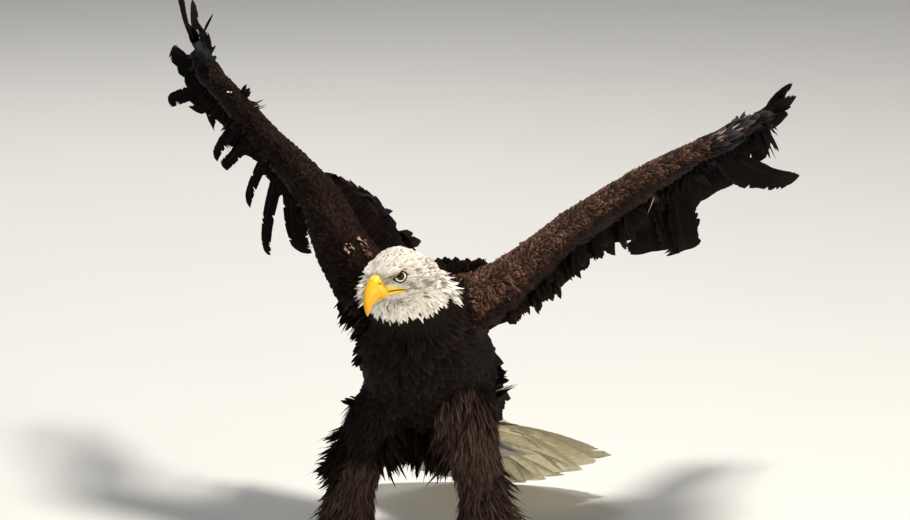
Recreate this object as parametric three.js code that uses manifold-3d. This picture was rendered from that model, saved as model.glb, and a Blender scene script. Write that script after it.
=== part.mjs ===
// A life-size bald eagle, standing with both wings raised and half folded.
// Millimetres, +Z up. The bird faces -Y, so its left side is towards +X.
// The shapes are worked out round a point between the feet, and the finished
// group is then moved so that the origin lies under the middle of its outline.
import * as THREE from "three";
import { mergeVertices } from "three/addons/utils/BufferGeometryUtils.js";
import Module from "manifold-3d";

const wasm = await Module();
wasm.setup();

// ---------------------------------------------------------------- driving sizes

const gap = 0.4; // left between pieces that meet
const flatness = 0.2; // facets closer to flat than this are merged
const shelter = 400; // a block this big cuts away what is under the floor

const trunkSize = { width: 97, back: 96, belly: 96 };
const headPlace = { at: [-16, -240, 459], yaw: -30, pitch: 15, roll: -4 };
const eye = { radius: 10.5, out: 20.5, forward: 17.5, up: 6 };
const tailSize = { base: [-4, 224, 146], length: 290, fan: 35, rootSpread: 34, feathers: 12, width: 58 };
const toeRadius = 9;

// Each leg: the middle of the feathered limb from the hip down to the hem above the foot,
// the foot itself, and the way the foot is turned.
const legs = {
  left: {
    limb: [[30, 22, 268], [50, -32, 226], [53, -6, 160], [62, 20, 100], [65, 17, 52]],
    foot: [71, -2],
    turn: 8,
  },
  right: {
    limb: [[-54, 22, 258], [-82, -24, 214], [-108, -4, 150], [-127, 24, 98], [-133, 19, 50]],
    foot: [-135, 4],
    turn: -20,
  },
};

// Each wing. edge is the middle of the leading edge from inside the body to the wrist, hand the
// same from the wrist on. chordIn and chordOut are the way the wing runs back at the body and at
// the wrist, palm the way the hand does; secondaryRoots the share of the arm between which the
// secondaries are rooted. Then come the tips of the ten primaries, outermost
// first, and of the secondaries from the wrist in, each with the share of its length at which it
// parts from the next where that is not the usual one; and the raised feathers over the shoulder.
const wings = {
  left: {
    side: 1,
    edge: [[34, -92, 390], [114, -102, 434], [199, -78, 507], [314, -43, 580], [376, -22, 609]],
    hand: [[376, -22, 609], [408, -12, 621], [434, 38, 634], [459, 98, 642]],
    armHeight: [[0, 122], [0.25, 80], [0.5, 58], [0.75, 48], [1, 40]],
    chordIn: [-0.06, 0.88, -0.46],
    chordOut: [-0.2, 0.82, -0.53],
    palm: [-0.5, 0.62, -0.6],
    secondaryRoots: [0.93, 0.23],
    primaries: [
      [447, 430, 625, 0.4], [445, 480, 596, 0.6], [428, 510, 563, 0.7], [405, 525, 530, 0.6], [443, 548, 469, 0.6],
      [371, 520, 472], [360, 490, 470], [347, 455, 467], [333, 420, 462], [320, 385, 457],
    ],
    secondaries: [
      [311, 346, 413], [306, 325, 398, 0.85], [278, 310, 409], [262, 300, 399, 0.8], [244, 286, 431], [213, 268, 417],
      [185, 253, 400], [158, 240, 372], [125, 226, 348], [90, 208, 326], [56, 190, 305],
    ],
    shoulder: [[196, -34, 484], [140, 14, 448], [84, 60, 400], [30, 96, 332]],
    shoulderSize: { width: 58, height: 14 },
  },
  right: {
    side: -1,
    edge: [[-54, -90, 380], [-112, -98, 454], [-164, -50, 540], [-234, -2, 594], [-305, 42, 656], [-334, 60, 678]],
    hand: [[-334, 60, 678], [-350, 84, 688], [-364, 132, 692], [-378, 190, 696]],
    armHeight: [[0, 132], [0.3, 86], [0.5, 62], [0.75, 46], [1, 42]],
    chordIn: [0.04, 0.9, -0.42],
    chordOut: [-0.1, 0.84, -0.52],
    palm: [0.3, 0.4, -0.86],
    secondaryRoots: [0.78, 0.23],
    primaries: [
      [-480, 500, 739, 0.45], [-465, 535, 709, 0.45], [-437, 545, 687, 0.4], [-505, 575, 632, 0.4], [-499, 580, 609],
      [-512, 570, 554, 0.6], [-470, 530, 549], [-435, 480, 556], [-421, 440, 551], [-409, 410, 543, 0.8],
    ],
    secondaries: [
      [-401, 383, 502, 0.6], [-388, 378, 490, 0.5], [-346, 350, 443, 0.2], [-315, 330, 375, 0.15], [-258, 315, 378, 0.25],
      [-228, 290, 424], [-205, 280, 403], [-184, 268, 391], [-162, 255, 384], [-138, 240, 380], [-111, 222, 381],
    ],
    shoulder: [[-178, -8, 540], [-142, 44, 516], [-108, 78, 482], [-80, 76, 436], [-34, 70, 372]],
    shoulderSize: { width: 46, height: 17 },
  },
};

// ---------------------------------------------------------------- making solids

const point = (p) => new THREE.Vector3(...p);
const curveThrough = (...points) => new THREE.CatmullRomCurve3(points.map((p) => (p.isVector3 ? p : point(p))));

/** A smooth value along a piece, through its [share of the way, value] stations. */
function profile(...stations) {
  const line = new THREE.CubicInterpolant(
    stations.map(([share]) => share),
    stations.map(([, value]) => value),
    1,
  );
  return (t) => line.evaluate(t)[0];
}

/** The manifold solid of a closed three.js geometry. */
function solidOf(geometry) {
  const bare = geometry.clone().deleteAttribute("normal").deleteAttribute("uv");
  const merged = mergeVertices(bare, 1e-3);
  return new wasm.Manifold(
    new wasm.Mesh({
      numProp: 3,
      vertProperties: new Float32Array(merged.attributes.position.array),
      triVerts: new Uint32Array(merged.index.array),
    }),
  );
}

/** The sideways and upward directions of a section, with its top kept towards the given one. */
function facing(along, top) {
  const side = new THREE.Vector3().crossVectors(along, top).normalize();
  return [side, new THREE.Vector3().crossVectors(side, along)];
}

const upright = (along) => facing(along, new THREE.Vector3(0, 0, 1));
const frontUp = (along) => facing(along, new THREE.Vector3(0, -1, 0));

/**
 * A closed tube along a path. section(t, x, y) turns the point x, y of a unit circle into
 * millimetres sideways and upwards in the frame of that section; grow thickens it all round.
 */
function loft({ path, frame = upright, rings, sides, section }, grow = 0) {
  const tube = new THREE.CylinderGeometry(1, 1, 1, sides, rings);
  const place = tube.getAttribute("position");
  for (let i = 0; i < place.count; i++) {
    const [x, y, t] = [place.getX(i), place.getZ(i), place.getY(i) + 0.5];
    const along = path.getTangent(t);
    const [side, over] = frame(along, t);
    const [a, b] = section(t, x, y);
    const end = t < 1e-6 ? -grow : t > 1 - 1e-6 ? grow : 0;
    const spot = path
      .getPoint(t)
      .addScaledVector(side, a + grow * x)
      .addScaledVector(over, b + grow * y)
      .addScaledVector(along, end);
    place.setXYZ(i, spot.x, spot.y, spot.z);
  }
  return solidOf(tube);
}

/** An oval section whose upper and lower halves differ. */
function oval(width, above, below) {
  return (t, x, y) => [x * width(t), y * (y > 0 ? above(t) : below(t))];
}

function join(solids) {
  return wasm.Manifold.union(solids);
}

function largestBody(solid) {
  return solid.decompose().reduce((most, body) => (body.volume() > most.volume() ? body : most));
}

/** The largest body that is left of a solid once the cutters are taken away. */
function carve(solid, ...cutters) {
  return largestBody(cutters.reduce((rest, cutter) => rest.subtract(cutter), solid));
}

/** What to cut away so that another piece keeps its gap to this shape. */
const clearOf = (shape) => join([loft(shape), loft(shape, gap)]);

const underFloor = solidOf(
  new THREE.BoxGeometry(3 * shelter, 4 * shelter, shelter).translate(0, 0, -shelter / 2),
);

// ---------------------------------------------------------------- trunk, neck and head

const trunk = {
  path: curveThrough(
    [-12, -172, 366], [-12, -120, 346], [-13, -20, 300], [-12, 90, 234], [-8, 180, 180], [-4, 244, 143],
  ),
  rings: 12,
  sides: 18,
  section: oval(
    profile([0, 30], [0.2, 82], [0.4, trunkSize.width], [0.6, trunkSize.width], [0.8, 76], [1, 42]),
    profile([0, 40], [0.2, 102], [0.4, trunkSize.back], [0.6, 80], [0.8, 50], [1, 20]),
    profile([0, 28], [0.2, 76], [0.4, trunkSize.belly], [0.6, 96], [0.8, 66], [1, 24]),
  ),
};

const neck = {
  path: curveThrough([-10, -110, 386], [-11, -146, 408], [-13, -184, 432], [-15, -218, 450]),
  rings: 4,
  sides: 14,
  section: oval(
    profile([0, 70], [0.33, 68], [0.66, 58], [1, 44]),
    profile([0, 50], [0.33, 52], [0.66, 48], [1, 38]),
    profile([0, 58], [0.33, 58], [0.66, 54], [1, 44]),
  ),
};

const { degToRad: degrees, lerp } = THREE.MathUtils;
const headTurn = new THREE.Matrix4()
  .makeRotationFromEuler(
    new THREE.Euler(degrees(headPlace.pitch), degrees(headPlace.roll), degrees(headPlace.yaw), "ZYX"),
  )
  .setPosition(...headPlace.at);
const inHead = (solid) => solid.transform(headTurn.elements);

const skull = {
  path: curveThrough([0, 58, -22], [0, 34, -9], [0, 6, -1], [0, -20, 0], [0, -38, 1]),
  rings: 7,
  sides: 15,
  section: oval(
    profile([0, 34], [0.25, 42], [0.5, 38], [0.75, 28], [1, 15]),
    profile([0, 28], [0.25, 37], [0.5, 38.5], [0.75, 30], [1, 17]),
    profile([0, 34], [0.25, 40], [0.5, 36], [0.75, 28], [1, 19]),
  ),
};

function browOn(side) {
  return {
    path: curveThrough([side * 14, -36, 15], [side * 26, -24, 16.5], [side * 31, -4, 15]),
    rings: 3,
    sides: 6,
    section: oval(profile([0, 3], [0.5, 5], [1, 2.5]), profile([0, 3], [0.5, 4], [1, 2]), () => 3),
  };
}

const upperBill = {
  path: curveThrough([0, -22, 0], [0, -44, 0.5], [0, -59, -5], [0, -68, -17], [0, -71, -31.4]),
  rings: 10,
  sides: 12,
  section: oval(
    profile([0, 15], [0.25, 13], [0.5, 10], [0.75, 5.5], [1, 1]),
    profile([0, 17], [0.25, 16], [0.5, 11.5], [0.75, 6], [1, 1.2]),
    profile([0, 15], [0.25, 13], [0.5, 10.5], [0.75, 6], [1, 1.2]),
  ),
};

const lowerBill = {
  path: curveThrough([0, -8, -18.5], [0, -34, -19], [0, -56, -17]),
  rings: 5,
  sides: 10,
  section: oval(profile([0, 15], [0.5, 10.5], [1, 3.5]), () => 4, profile([0, 9], [0.5, 6.5], [1, 3])),
};

function eyeball(side, grow = 0) {
  return solidOf(
    new THREE.SphereGeometry(eye.radius + grow, 12, 8).translate(side * eye.out, -eye.forward, eye.up),
  );
}

// ---------------------------------------------------------------- legs

/** The feathered leg: a full trouser that narrows to a ragged hem above the foot. */
function trouser({ limb }) {
  const width = profile([0, 38], [0.25, 43], [0.5, 41], [0.75, 38], [1, 44]);
  const front = profile([0, 40], [0.25, 46], [0.5, 40], [0.75, 34], [1, 34]);
  const behind = profile([0, 40], [0.25, 56], [0.5, 50], [0.75, 40], [1, 44]);
  return {
    path: curveThrough(...limb),
    frame: frontUp,
    rings: 9,
    sides: 14,
    section: (t, x, y) => {
      const ragged = 1 + 0.12 * Math.cos(7 * Math.atan2(y, x)) * THREE.MathUtils.smoothstep(t, 0.75, 1);
      return [x * width(t) * ragged, y * (y > 0 ? front(t) : behind(t)) * ragged];
    },
  };
}

// Toe by toe: which way it points from straight ahead, its length, its girth and its claw's length.
const toes = {
  inner: { splay: 34, length: 56, girth: 1.05, claw: 38 },
  middle: { splay: 2, length: 76, girth: 1, claw: 32 },
  outer: { splay: -34, length: 60, girth: 0.92, claw: 27 },
  hind: { splay: 176, length: 40, girth: 1.05, claw: 42 },
};

/** The middle lines of a toe and of its claw on the floor; the splay is mirrored on the right foot. */
function toePaths(side, { foot, turn }, { splay, length, claw }) {
  const angle = degrees(turn - side * splay);
  const way = new THREE.Vector3(Math.sin(angle), -Math.cos(angle), 0);
  const out = (distance, height) => new THREE.Vector3(...foot, height).addScaledVector(way, distance);
  return {
    toe: curveThrough(out(0, 15), out(0.35 * length, 12), out(0.7 * length, 8), out(length, 7)),
    claw: curveThrough(
      out(length - 5, 9),
      out(length + 0.36 * claw, 14),
      out(length + 0.74 * claw, 10),
      out(length + 0.86 * claw, 1.2),
    ),
  };
}

function toe(path, girth) {
  const radius = (t) => girth * toeRadius * (1.06 - 0.2 * t + 0.07 * Math.cos(19 * t));
  return { path, rings: 4, sides: 6, section: (t, x, y) => [x * radius(t), y * radius(t)] };
}

function claw(path) {
  const radius = profile([0, 5.4], [0.4, 4.6], [0.8, 2.4], [1, 0.7]);
  return { path, rings: 4, sides: 6, section: (t, x, y) => [0.8 * x * radius(t), y * radius(t)] };
}

function shank({ limb, foot }) {
  return {
    path: curveThrough(limb[3], [foot[0], foot[1] + 8, 42], [foot[0], foot[1] + 1, 13]),
    frame: frontUp,
    rings: 4,
    sides: 10,
    section: oval(profile([0, 9], [0.6, 9.5], [1, 13]), () => 10, profile([0, 10], [0.6, 11], [1, 13])),
  };
}

// ---------------------------------------------------------------- feathers

/**
 * A row of feathers side by side as one thin closed sheet. Each feather goes from its root to its
 * tip; it parts from its neighbours at its share `split` of the way and narrows from there on.
 * Its edges lie on the lines towards its neighbours, so that the sheet doesn't cross itself.
 */
function featherRow(feathers, { rows, thick }) {
  const columns = [];
  const put = (root, end, face, bow, share = 1) => columns.push({ root, end, face, bow, share });
  const lines = feathers.map((feather, i) => {
    const [before, after] = [feathers[i - 1] ?? feather, feathers[i + 1] ?? feather];
    const along = new THREE.Vector3().subVectors(feather.tip, feather.root);
    const across = new THREE.Vector3().subVectors(after.root, before.root).add(after.tip).sub(before.tip);
    const face = new THREE.Vector3().crossVectors(along, across).normalize();
    const aside = new THREE.Vector3().crossVectors(face, along).normalize();
    return { bow: 0, ...feather, along, face, aside };
  });
  const partAt = ({ root, along, split }) => root.clone().addScaledVector(along, split);
  const nearestOn = ({ root, tip }, spot) =>
    new THREE.Line3(root, tip).closestPointToPoint(spot, true, new THREE.Vector3());
  const edgeOf = (line, sign, beside) => {
    const { root, along, aside, split, width, face, bow } = line;
    const share = 0.4 * split + 0.6;
    const end = root.clone().addScaledVector(along, share);
    const way = beside ? nearestOn(beside, end).sub(end) : aside.clone().multiplyScalar(sign * width);
    const rootWay = beside ? beside.root.clone().sub(root) : aside.clone().multiplyScalar(sign * width);
    end.add(way.clampLength(0, Math.min(0.34 * width, 0.42 * way.length())));
    put(root.clone().add(rootWay.clampLength(0, 0.35 * rootWay.length())), end, face, bow, share);
  };
  lines.forEach((line, i) => {
    const before = lines[i - 1];
    if (before) {
      const split = Math.min(before.split, line.split);
      const part = partAt({ ...before, split }).lerp(partAt({ ...line, split }), 0.5);
      const face = before.face.clone().add(line.face).normalize();
      put(before.root.clone().lerp(line.root, 0.5), part, face, line.bow, split);
    }
    edgeOf(line, -1, before);
    put(line.root, line.tip, line.face, line.bow);
    edgeOf(line, 1, lines[i + 1]);
  });
  const sheet = new THREE.BoxGeometry(1, 1, 1, columns.length - 1, 1, rows);
  const place = sheet.getAttribute("position");
  for (let i = 0; i < place.count; i++) {
    const { root, end, face, bow, share } = columns[Math.round((place.getX(i) + 0.5) * (columns.length - 1))];
    const t = place.getZ(i) + 0.5;
    const rise = 4 * bow * share * t * (1 - share * t) + place.getY(i) * thick * (1 - 0.6 * t);
    const spot = new THREE.Vector3().lerpVectors(root, end, t).addScaledVector(face, rise);
    place.setXYZ(i, spot.x, spot.y, spot.z);
  }
  return solidOf(sheet);
}

function tailFan() {
  const { base, length, fan, rootSpread, feathers, width } = tailSize;
  const row = Array.from({ length: feathers }, (_, i) => {
    const share = (2 * i) / (feathers - 1) - 1;
    const turn = degrees(fan * share);
    const reach = length * (1 - 0.05 * share * share);
    const lift = 42 * Math.abs(share) ** 2.5;
    const root = point(base).add(new THREE.Vector3(rootSpread * share, 0, 6 - 10 * share * share));
    const tip = point(base).add(
      new THREE.Vector3(reach * Math.sin(turn), 0.92 * reach * Math.cos(turn), lift - base[2]),
    );
    return { root, tip, split: 0.9, width, bow: 9 };
  });
  return featherRow(row, { rows: 2, thick: 4 });
}

/** The close feathers that round off the roots of the tail above and below. */
const tailRoot = {
  path: curveThrough([-4, 214, 154], [-4, 262, 130], [-4, 310, 110]),
  rings: 4,
  sides: 12,
  section: oval(
    profile([0, 46], [0.5, 62], [1, 70]),
    profile([0, 20], [0.5, 12], [1, 3]),
    profile([0, 24], [0.5, 14], [1, 3]),
  ),
};

// ---------------------------------------------------------------- wings

// How far the arm and the hand reach back from their leading edge, from the inner end out.
const armReach = profile([0, 134], [0.35, 142], [0.7, 112], [1, 62]);
const handReach = profile([0, 50], [0.3, 48], [0.7, 30], [1, 8]);

/** A limb of the wing whose section is round in front and drawn out to a thin edge behind. */
function vane({ path, back, side, reach, height, rings, sides }) {
  return {
    path,
    frame: (along, t) => {
      const over = new THREE.Vector3().crossVectors(along, back(t)).multiplyScalar(side).normalize();
      return [back(t).multiplyScalar(-side), over];
    },
    rings,
    sides,
    section: (t, x, y) => {
      const aft = (1 - side * x) / 2;
      const taper = 1.2 * Math.max(0, 1 - aft) ** 0.75 + 0.07;
      return [side * (16 - (16 + reach(t)) * aft), (y * height(t) * taper) / 2];
    },
  };
}

function arm({ edge, chordIn, chordOut, armHeight, side }) {
  return vane({
    path: curveThrough(...edge),
    back: (t) => point(chordIn).lerp(point(chordOut), t).normalize(),
    side,
    reach: armReach,
    height: profile(...armHeight),
    rings: 8,
    sides: 12,
  });
}

function handOf({ hand, palm, armHeight, side }) {
  const wrist = armHeight.at(-1)[1];
  return vane({
    path: curveThrough(...hand),
    back: () => point(palm).normalize(),
    side,
    reach: handReach,
    height: profile([0, wrist], [0.3, 0.95 * wrist], [0.7, 0.6 * wrist], [1, 9]),
    rings: 5,
    sides: 12,
  });
}

/** The flight feathers: ten primaries fanned out from the hand, then the secondaries. */
function flightRow(wing) {
  const palm = point(wing.palm).normalize();
  const back = (t) => point(wing.chordIn).lerp(point(wing.chordOut), t).normalize();
  const hand = curveThrough(...wing.hand);
  const edge = curveThrough(...wing.edge);
  const onHand = (t) => hand.getPoint(t).addScaledVector(palm, handReach(t) + 3 * gap);
  const onArm = (t) => edge.getPoint(t).addScaledVector(back(t), armReach(t) + 3 * gap);
  const primaries = wing.primaries.map((tip, i) => ({
    root: onHand(0.99 - i / 10),
    tip: point(tip),
    split: tip[3] ?? (i < 5 ? 0.5 : 0.93),
    width: i < 5 ? 38 : 46,
  }));
  const secondaries = wing.secondaries.map((tip, i) => ({
    root: onArm(lerp(...wing.secondaryRoots, i / (wing.secondaries.length - 1))),
    tip: point(tip),
    split: tip[3] ?? 0.93,
    width: 46,
  }));
  const row = [...primaries, ...secondaries].map((feather) => ({ ...feather, bow: 12 * wing.side }));
  return featherRow(row, { rows: 2, thick: 3.6 });
}

/** The loose feathers that rise over the shoulder and close the wing to the back. */
function shoulder({ shoulder: line, shoulderSize: { width, height }, chordIn, side }) {
  const bulge = profile([0, 0.25], [0.3, 1], [0.7, 1], [1, 0.6]);
  const back = point(chordIn).normalize();
  return {
    path: curveThrough(...line),
    frame: (along) => {
      const over = new THREE.Vector3().crossVectors(along, back).multiplyScalar(-side).normalize();
      return [back.clone().multiplyScalar(side), over];
    },
    rings: 7,
    sides: 12,
    section: (t, x, y) => [x * width * bulge(t), y * height * bulge(t)],
  };
}

// ---------------------------------------------------------------- the whole bird

const finish = (color, roughness) => new THREE.MeshStandardMaterial({ color, roughness, metalness: 0 });
const looks = {
  body: finish(0x2a1c15, 0.85),
  wing: finish(0x35241b, 0.8),
  quill: finish(0x17110e, 0.6),
  white: finish(0xe9e4d8, 0.85),
  tail: finish(0xe2dabd, 0.75),
  bill: finish(0xf0b62a, 0.35),
  eye: finish(0xe8dfa8, 0.08),
  foot: finish(0xe3ac2e, 0.6),
  claw: finish(0x17140f, 0.3),
};

const eagle = new THREE.Group();

function add(name, solid, material) {
  const { vertProperties, triVerts, numProp } = largestBody(solid.simplify(flatness)).getMesh();
  if (numProp !== 3) throw new Error(name + " carries more than positions");
  const geometry = new THREE.BufferGeometry()
    .setAttribute("position", new THREE.BufferAttribute(vertProperties, 3))
    .setIndex(new THREE.BufferAttribute(triVerts, 1));
  geometry.computeVertexNormals();
  const mesh = new THREE.Mesh(geometry, material);
  mesh.name = name;
  eagle.add(mesh);
}

const trunkCut = clearOf(trunk);
const skullParts = (grow) => join([loft(skull, grow), loft(browOn(1), grow), loft(browOn(-1), grow)]);
const eyes = { left: 1, right: -1 };
const eyesCut = join(Object.values(eyes).map((side) => eyeball(side, gap)));

add("trunk", loft(trunk), looks.body);
add("neck", carve(loft(neck), trunkCut, inHead(skullParts(gap))), looks.white);
add("head", inHead(carve(skullParts(0), eyesCut)), looks.white);
for (const [name, side] of Object.entries(eyes)) {
  add("eye_" + name, inHead(eyeball(side)), looks.eye);
}
add("upper_bill", inHead(carve(loft(upperBill), skullParts(gap))), looks.bill);
add("lower_bill", inHead(carve(loft(lowerBill), skullParts(gap), loft(upperBill, gap))), looks.bill);
add("tail", carve(join([tailFan(), loft(tailRoot)]), trunkCut, underFloor), looks.tail);

for (const [name, leg] of Object.entries(legs)) {
  const side = name === "left" ? 1 : -1;
  add("leg_" + name, carve(loft(trouser(leg)), trunkCut), looks.body);
  const paths = Object.fromEntries(
    Object.entries(toes).map(([which, size]) => [which, toePaths(side, leg, size)]),
  );
  const footParts = (grow) =>
    join([
      loft(shank(leg), grow),
      ...Object.keys(toes).map((which) => loft(toe(paths[which].toe, toes[which].girth), grow)),
    ]);
  add("foot_" + name, carve(footParts(0), loft(trouser(leg), gap), underFloor), looks.foot);
  for (const which of Object.keys(toes)) {
    const tip = carve(loft(claw(paths[which].claw)), footParts(gap), underFloor);
    add(`claw_${name}_${which}`, tip, looks.claw);
  }
}

for (const [name, wing] of Object.entries(wings)) {
  const body = [trunkCut, clearOf(neck)];
  const armCut = clearOf(arm(wing));
  add(`wing_${name}_arm`, carve(loft(arm(wing)), ...body), looks.wing);
  add(`wing_${name}_hand`, carve(loft(handOf(wing)), armCut), looks.wing);
  add(`wing_${name}_flight`, carve(flightRow(wing), armCut, clearOf(handOf(wing)), ...body), looks.quill);
  add(`wing_${name}_shoulder`, carve(loft(shoulder(wing)), armCut, ...body), looks.wing);
}

const outline = new THREE.Box3().setFromObject(eagle);
eagle.position.set(-(outline.min.x + outline.max.x) / 2, -(outline.min.y + outline.max.y) / 2, 0);

export default eagle;
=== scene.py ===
import math

import bmesh
import bpy
import numpy as np
from mathutils import Matrix, Vector
from mathutils.bvhtree import BVHTree
from mathutils.kdtree import KDTree


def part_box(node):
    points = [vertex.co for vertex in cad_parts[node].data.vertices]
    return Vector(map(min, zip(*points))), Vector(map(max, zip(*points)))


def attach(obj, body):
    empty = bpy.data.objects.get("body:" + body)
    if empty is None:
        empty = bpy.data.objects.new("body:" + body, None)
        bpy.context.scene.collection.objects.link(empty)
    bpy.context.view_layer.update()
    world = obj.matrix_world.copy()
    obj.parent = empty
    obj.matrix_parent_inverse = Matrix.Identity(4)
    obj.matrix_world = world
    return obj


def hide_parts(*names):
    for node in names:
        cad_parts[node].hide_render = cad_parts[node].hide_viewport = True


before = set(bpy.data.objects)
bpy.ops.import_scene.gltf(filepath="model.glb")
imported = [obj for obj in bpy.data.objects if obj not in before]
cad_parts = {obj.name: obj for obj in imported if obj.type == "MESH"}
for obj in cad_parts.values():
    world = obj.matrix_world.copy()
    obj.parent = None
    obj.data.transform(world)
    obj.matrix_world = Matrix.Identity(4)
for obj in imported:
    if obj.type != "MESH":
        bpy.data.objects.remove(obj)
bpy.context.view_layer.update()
chance = np.random.default_rng(11)

# camera, looking down on the bird from in front and a little to its left
camera = {
    "azimuth": 10, "elevation": 11, "distance": 9.0, "lens": 251.0, "sensor": 36, "aim": (11.0, 84.4, 417.7),
}

# where things are: millimetres round a point between the feet, as the solids were drawn

headPlace = {"at": (-16, -240, 459), "yaw": -30, "pitch": 15, "roll": -4}
eyeball = {"radius": 11.2, "at": (22.4, -14.2, 5.5), "gaze": (0.75, -0.66, 0.06)}
betweenEyes = (0, -17.5, 6)

headTurn = np.array(
    Matrix.Rotation(math.radians(headPlace["yaw"]), 3, "Z")
    @ Matrix.Rotation(math.radians(headPlace["roll"]), 3, "Y")
    @ Matrix.Rotation(math.radians(headPlace["pitch"]), 3, "X")
)
headAt = np.array(headPlace["at"], float)


def middleOf(node):
    low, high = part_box(node)
    return (np.array(low) + np.array(high)) * 500


def fromHead(spots):
    return np.asarray(spots, float) @ headTurn.T + headAt


shift = (middleOf("eye_left") + middleOf("eye_right")) / 2 - fromHead([betweenEyes])[0]


def place(spots):  # drawn millimetres to metres in the frame
    return (np.asarray(spots, float) + shift) / 1000


def setCamera():
    turn, lift = math.radians(camera["azimuth"]), math.radians(camera["elevation"])
    away = Vector((math.sin(turn) * math.cos(lift), -math.cos(turn) * math.cos(lift), math.sin(lift)))
    eye = bpy.data.objects.new("camera", bpy.data.cameras.new("camera"))
    bpy.context.scene.collection.objects.link(eye)
    eye.data.lens = camera["lens"]
    eye.data.sensor_width = camera["sensor"]
    eye.data.clip_end = 100
    eye.location = Vector(place(camera["aim"])) + away * camera["distance"]
    eye.rotation_euler = away.to_track_quat("Z", "Y").to_euler()
    bpy.context.scene.camera = eye


setCamera()
print("camera set")


def inHead(spots):  # metres in the frame to millimetres in the head
    return (spots * 1000 - shift - headAt) @ headTurn


def inDrawing(spots):  # metres in the frame to drawn millimetres
    return spots * 1000 - shift


def unit(vectors):
    vectors = np.asarray(vectors, float)
    return vectors / np.maximum(np.linalg.norm(vectors, axis=-1, keepdims=True), 1e-12)


def smoothStep(low, high, value):
    share = np.clip((value - low) / (high - low), 0, 1)
    return share * share * (3 - 2 * share)


def pathAt(points, share):
    points = np.asarray(points, float)
    last = len(points) - 1
    where = np.clip(np.atleast_1d(share), 0, 1) * last
    i = np.clip(where.astype(int), 0, last - 1)
    w = (where - i)[:, None]
    padded = np.vstack([2 * points[0] - points[1], points, 2 * points[-1] - points[-2]])
    a, b, c, d = (padded[i + k] for k in range(4))
    gaps = (np.sum((q - p) ** 2, 1) ** 0.25 for p, q in ((a, b), (b, c), (c, d)))
    d0, d1, d2 = (np.maximum(gap, 1e-4)[:, None] for gap in gaps)
    s = ((b - a) / d0 - (c - a) / (d0 + d1) + (c - b) / d1) * d1
    e = ((c - b) / d1 - (d - b) / (d1 + d2) + (d - c) / d2) * d1
    return b + s * w + (-3 * b + 3 * c - 2 * s - e) * w**2 + (2 * b - 2 * c + s + e) * w**3


def tangentAt(points, share):
    share = np.atleast_1d(share)
    return unit(pathAt(points, np.minimum(share + 0.01, 1)) - pathAt(points, np.maximum(share - 0.01, 0)))


def ripple(spots, size, seed, waves=7):  # smooth noise from -1 to 1 whose bumps are about size metres
    dice = np.random.default_rng(seed)
    total = np.zeros(len(spots))
    for _ in range(waves):
        way = unit(dice.normal(size=3))
        total += np.sin(spots @ way * (2 * math.pi / size) * dice.uniform(0.6, 1.6) + dice.uniform(0, 7))
    return total / math.sqrt(waves) / 1.3


paths = {
    "trunk": [
        (-12, -172, 366), (-12, -120, 346), (-13, -20, 300), (-12, 90, 234), (-8, 180, 180), (-4, 244, 143),
    ],
    "neck": [(-10, -110, 386), (-11, -146, 408), (-13, -184, 432), (-15, -218, 450)],
    "leg_left": [(30, 22, 268), (50, -32, 226), (53, -6, 160), (62, 20, 100), (65, 17, 52)],
    "leg_right": [(-54, 22, 258), (-82, -24, 214), (-108, -4, 150), (-127, 24, 98), (-133, 19, 50)],
}
feet = {"left": {"at": (71, -2), "turn": 8}, "right": {"at": (-135, 4), "turn": -20}}
toes = {
    "inner": {"splay": 34, "length": 56, "girth": 1.05, "claw": 38},
    "middle": {"splay": 2, "length": 76, "girth": 1, "claw": 32},
    "outer": {"splay": -34, "length": 60, "girth": 0.92, "claw": 27},
    "hind": {"splay": 176, "length": 40, "girth": 1.05, "claw": 42},
}

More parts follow.
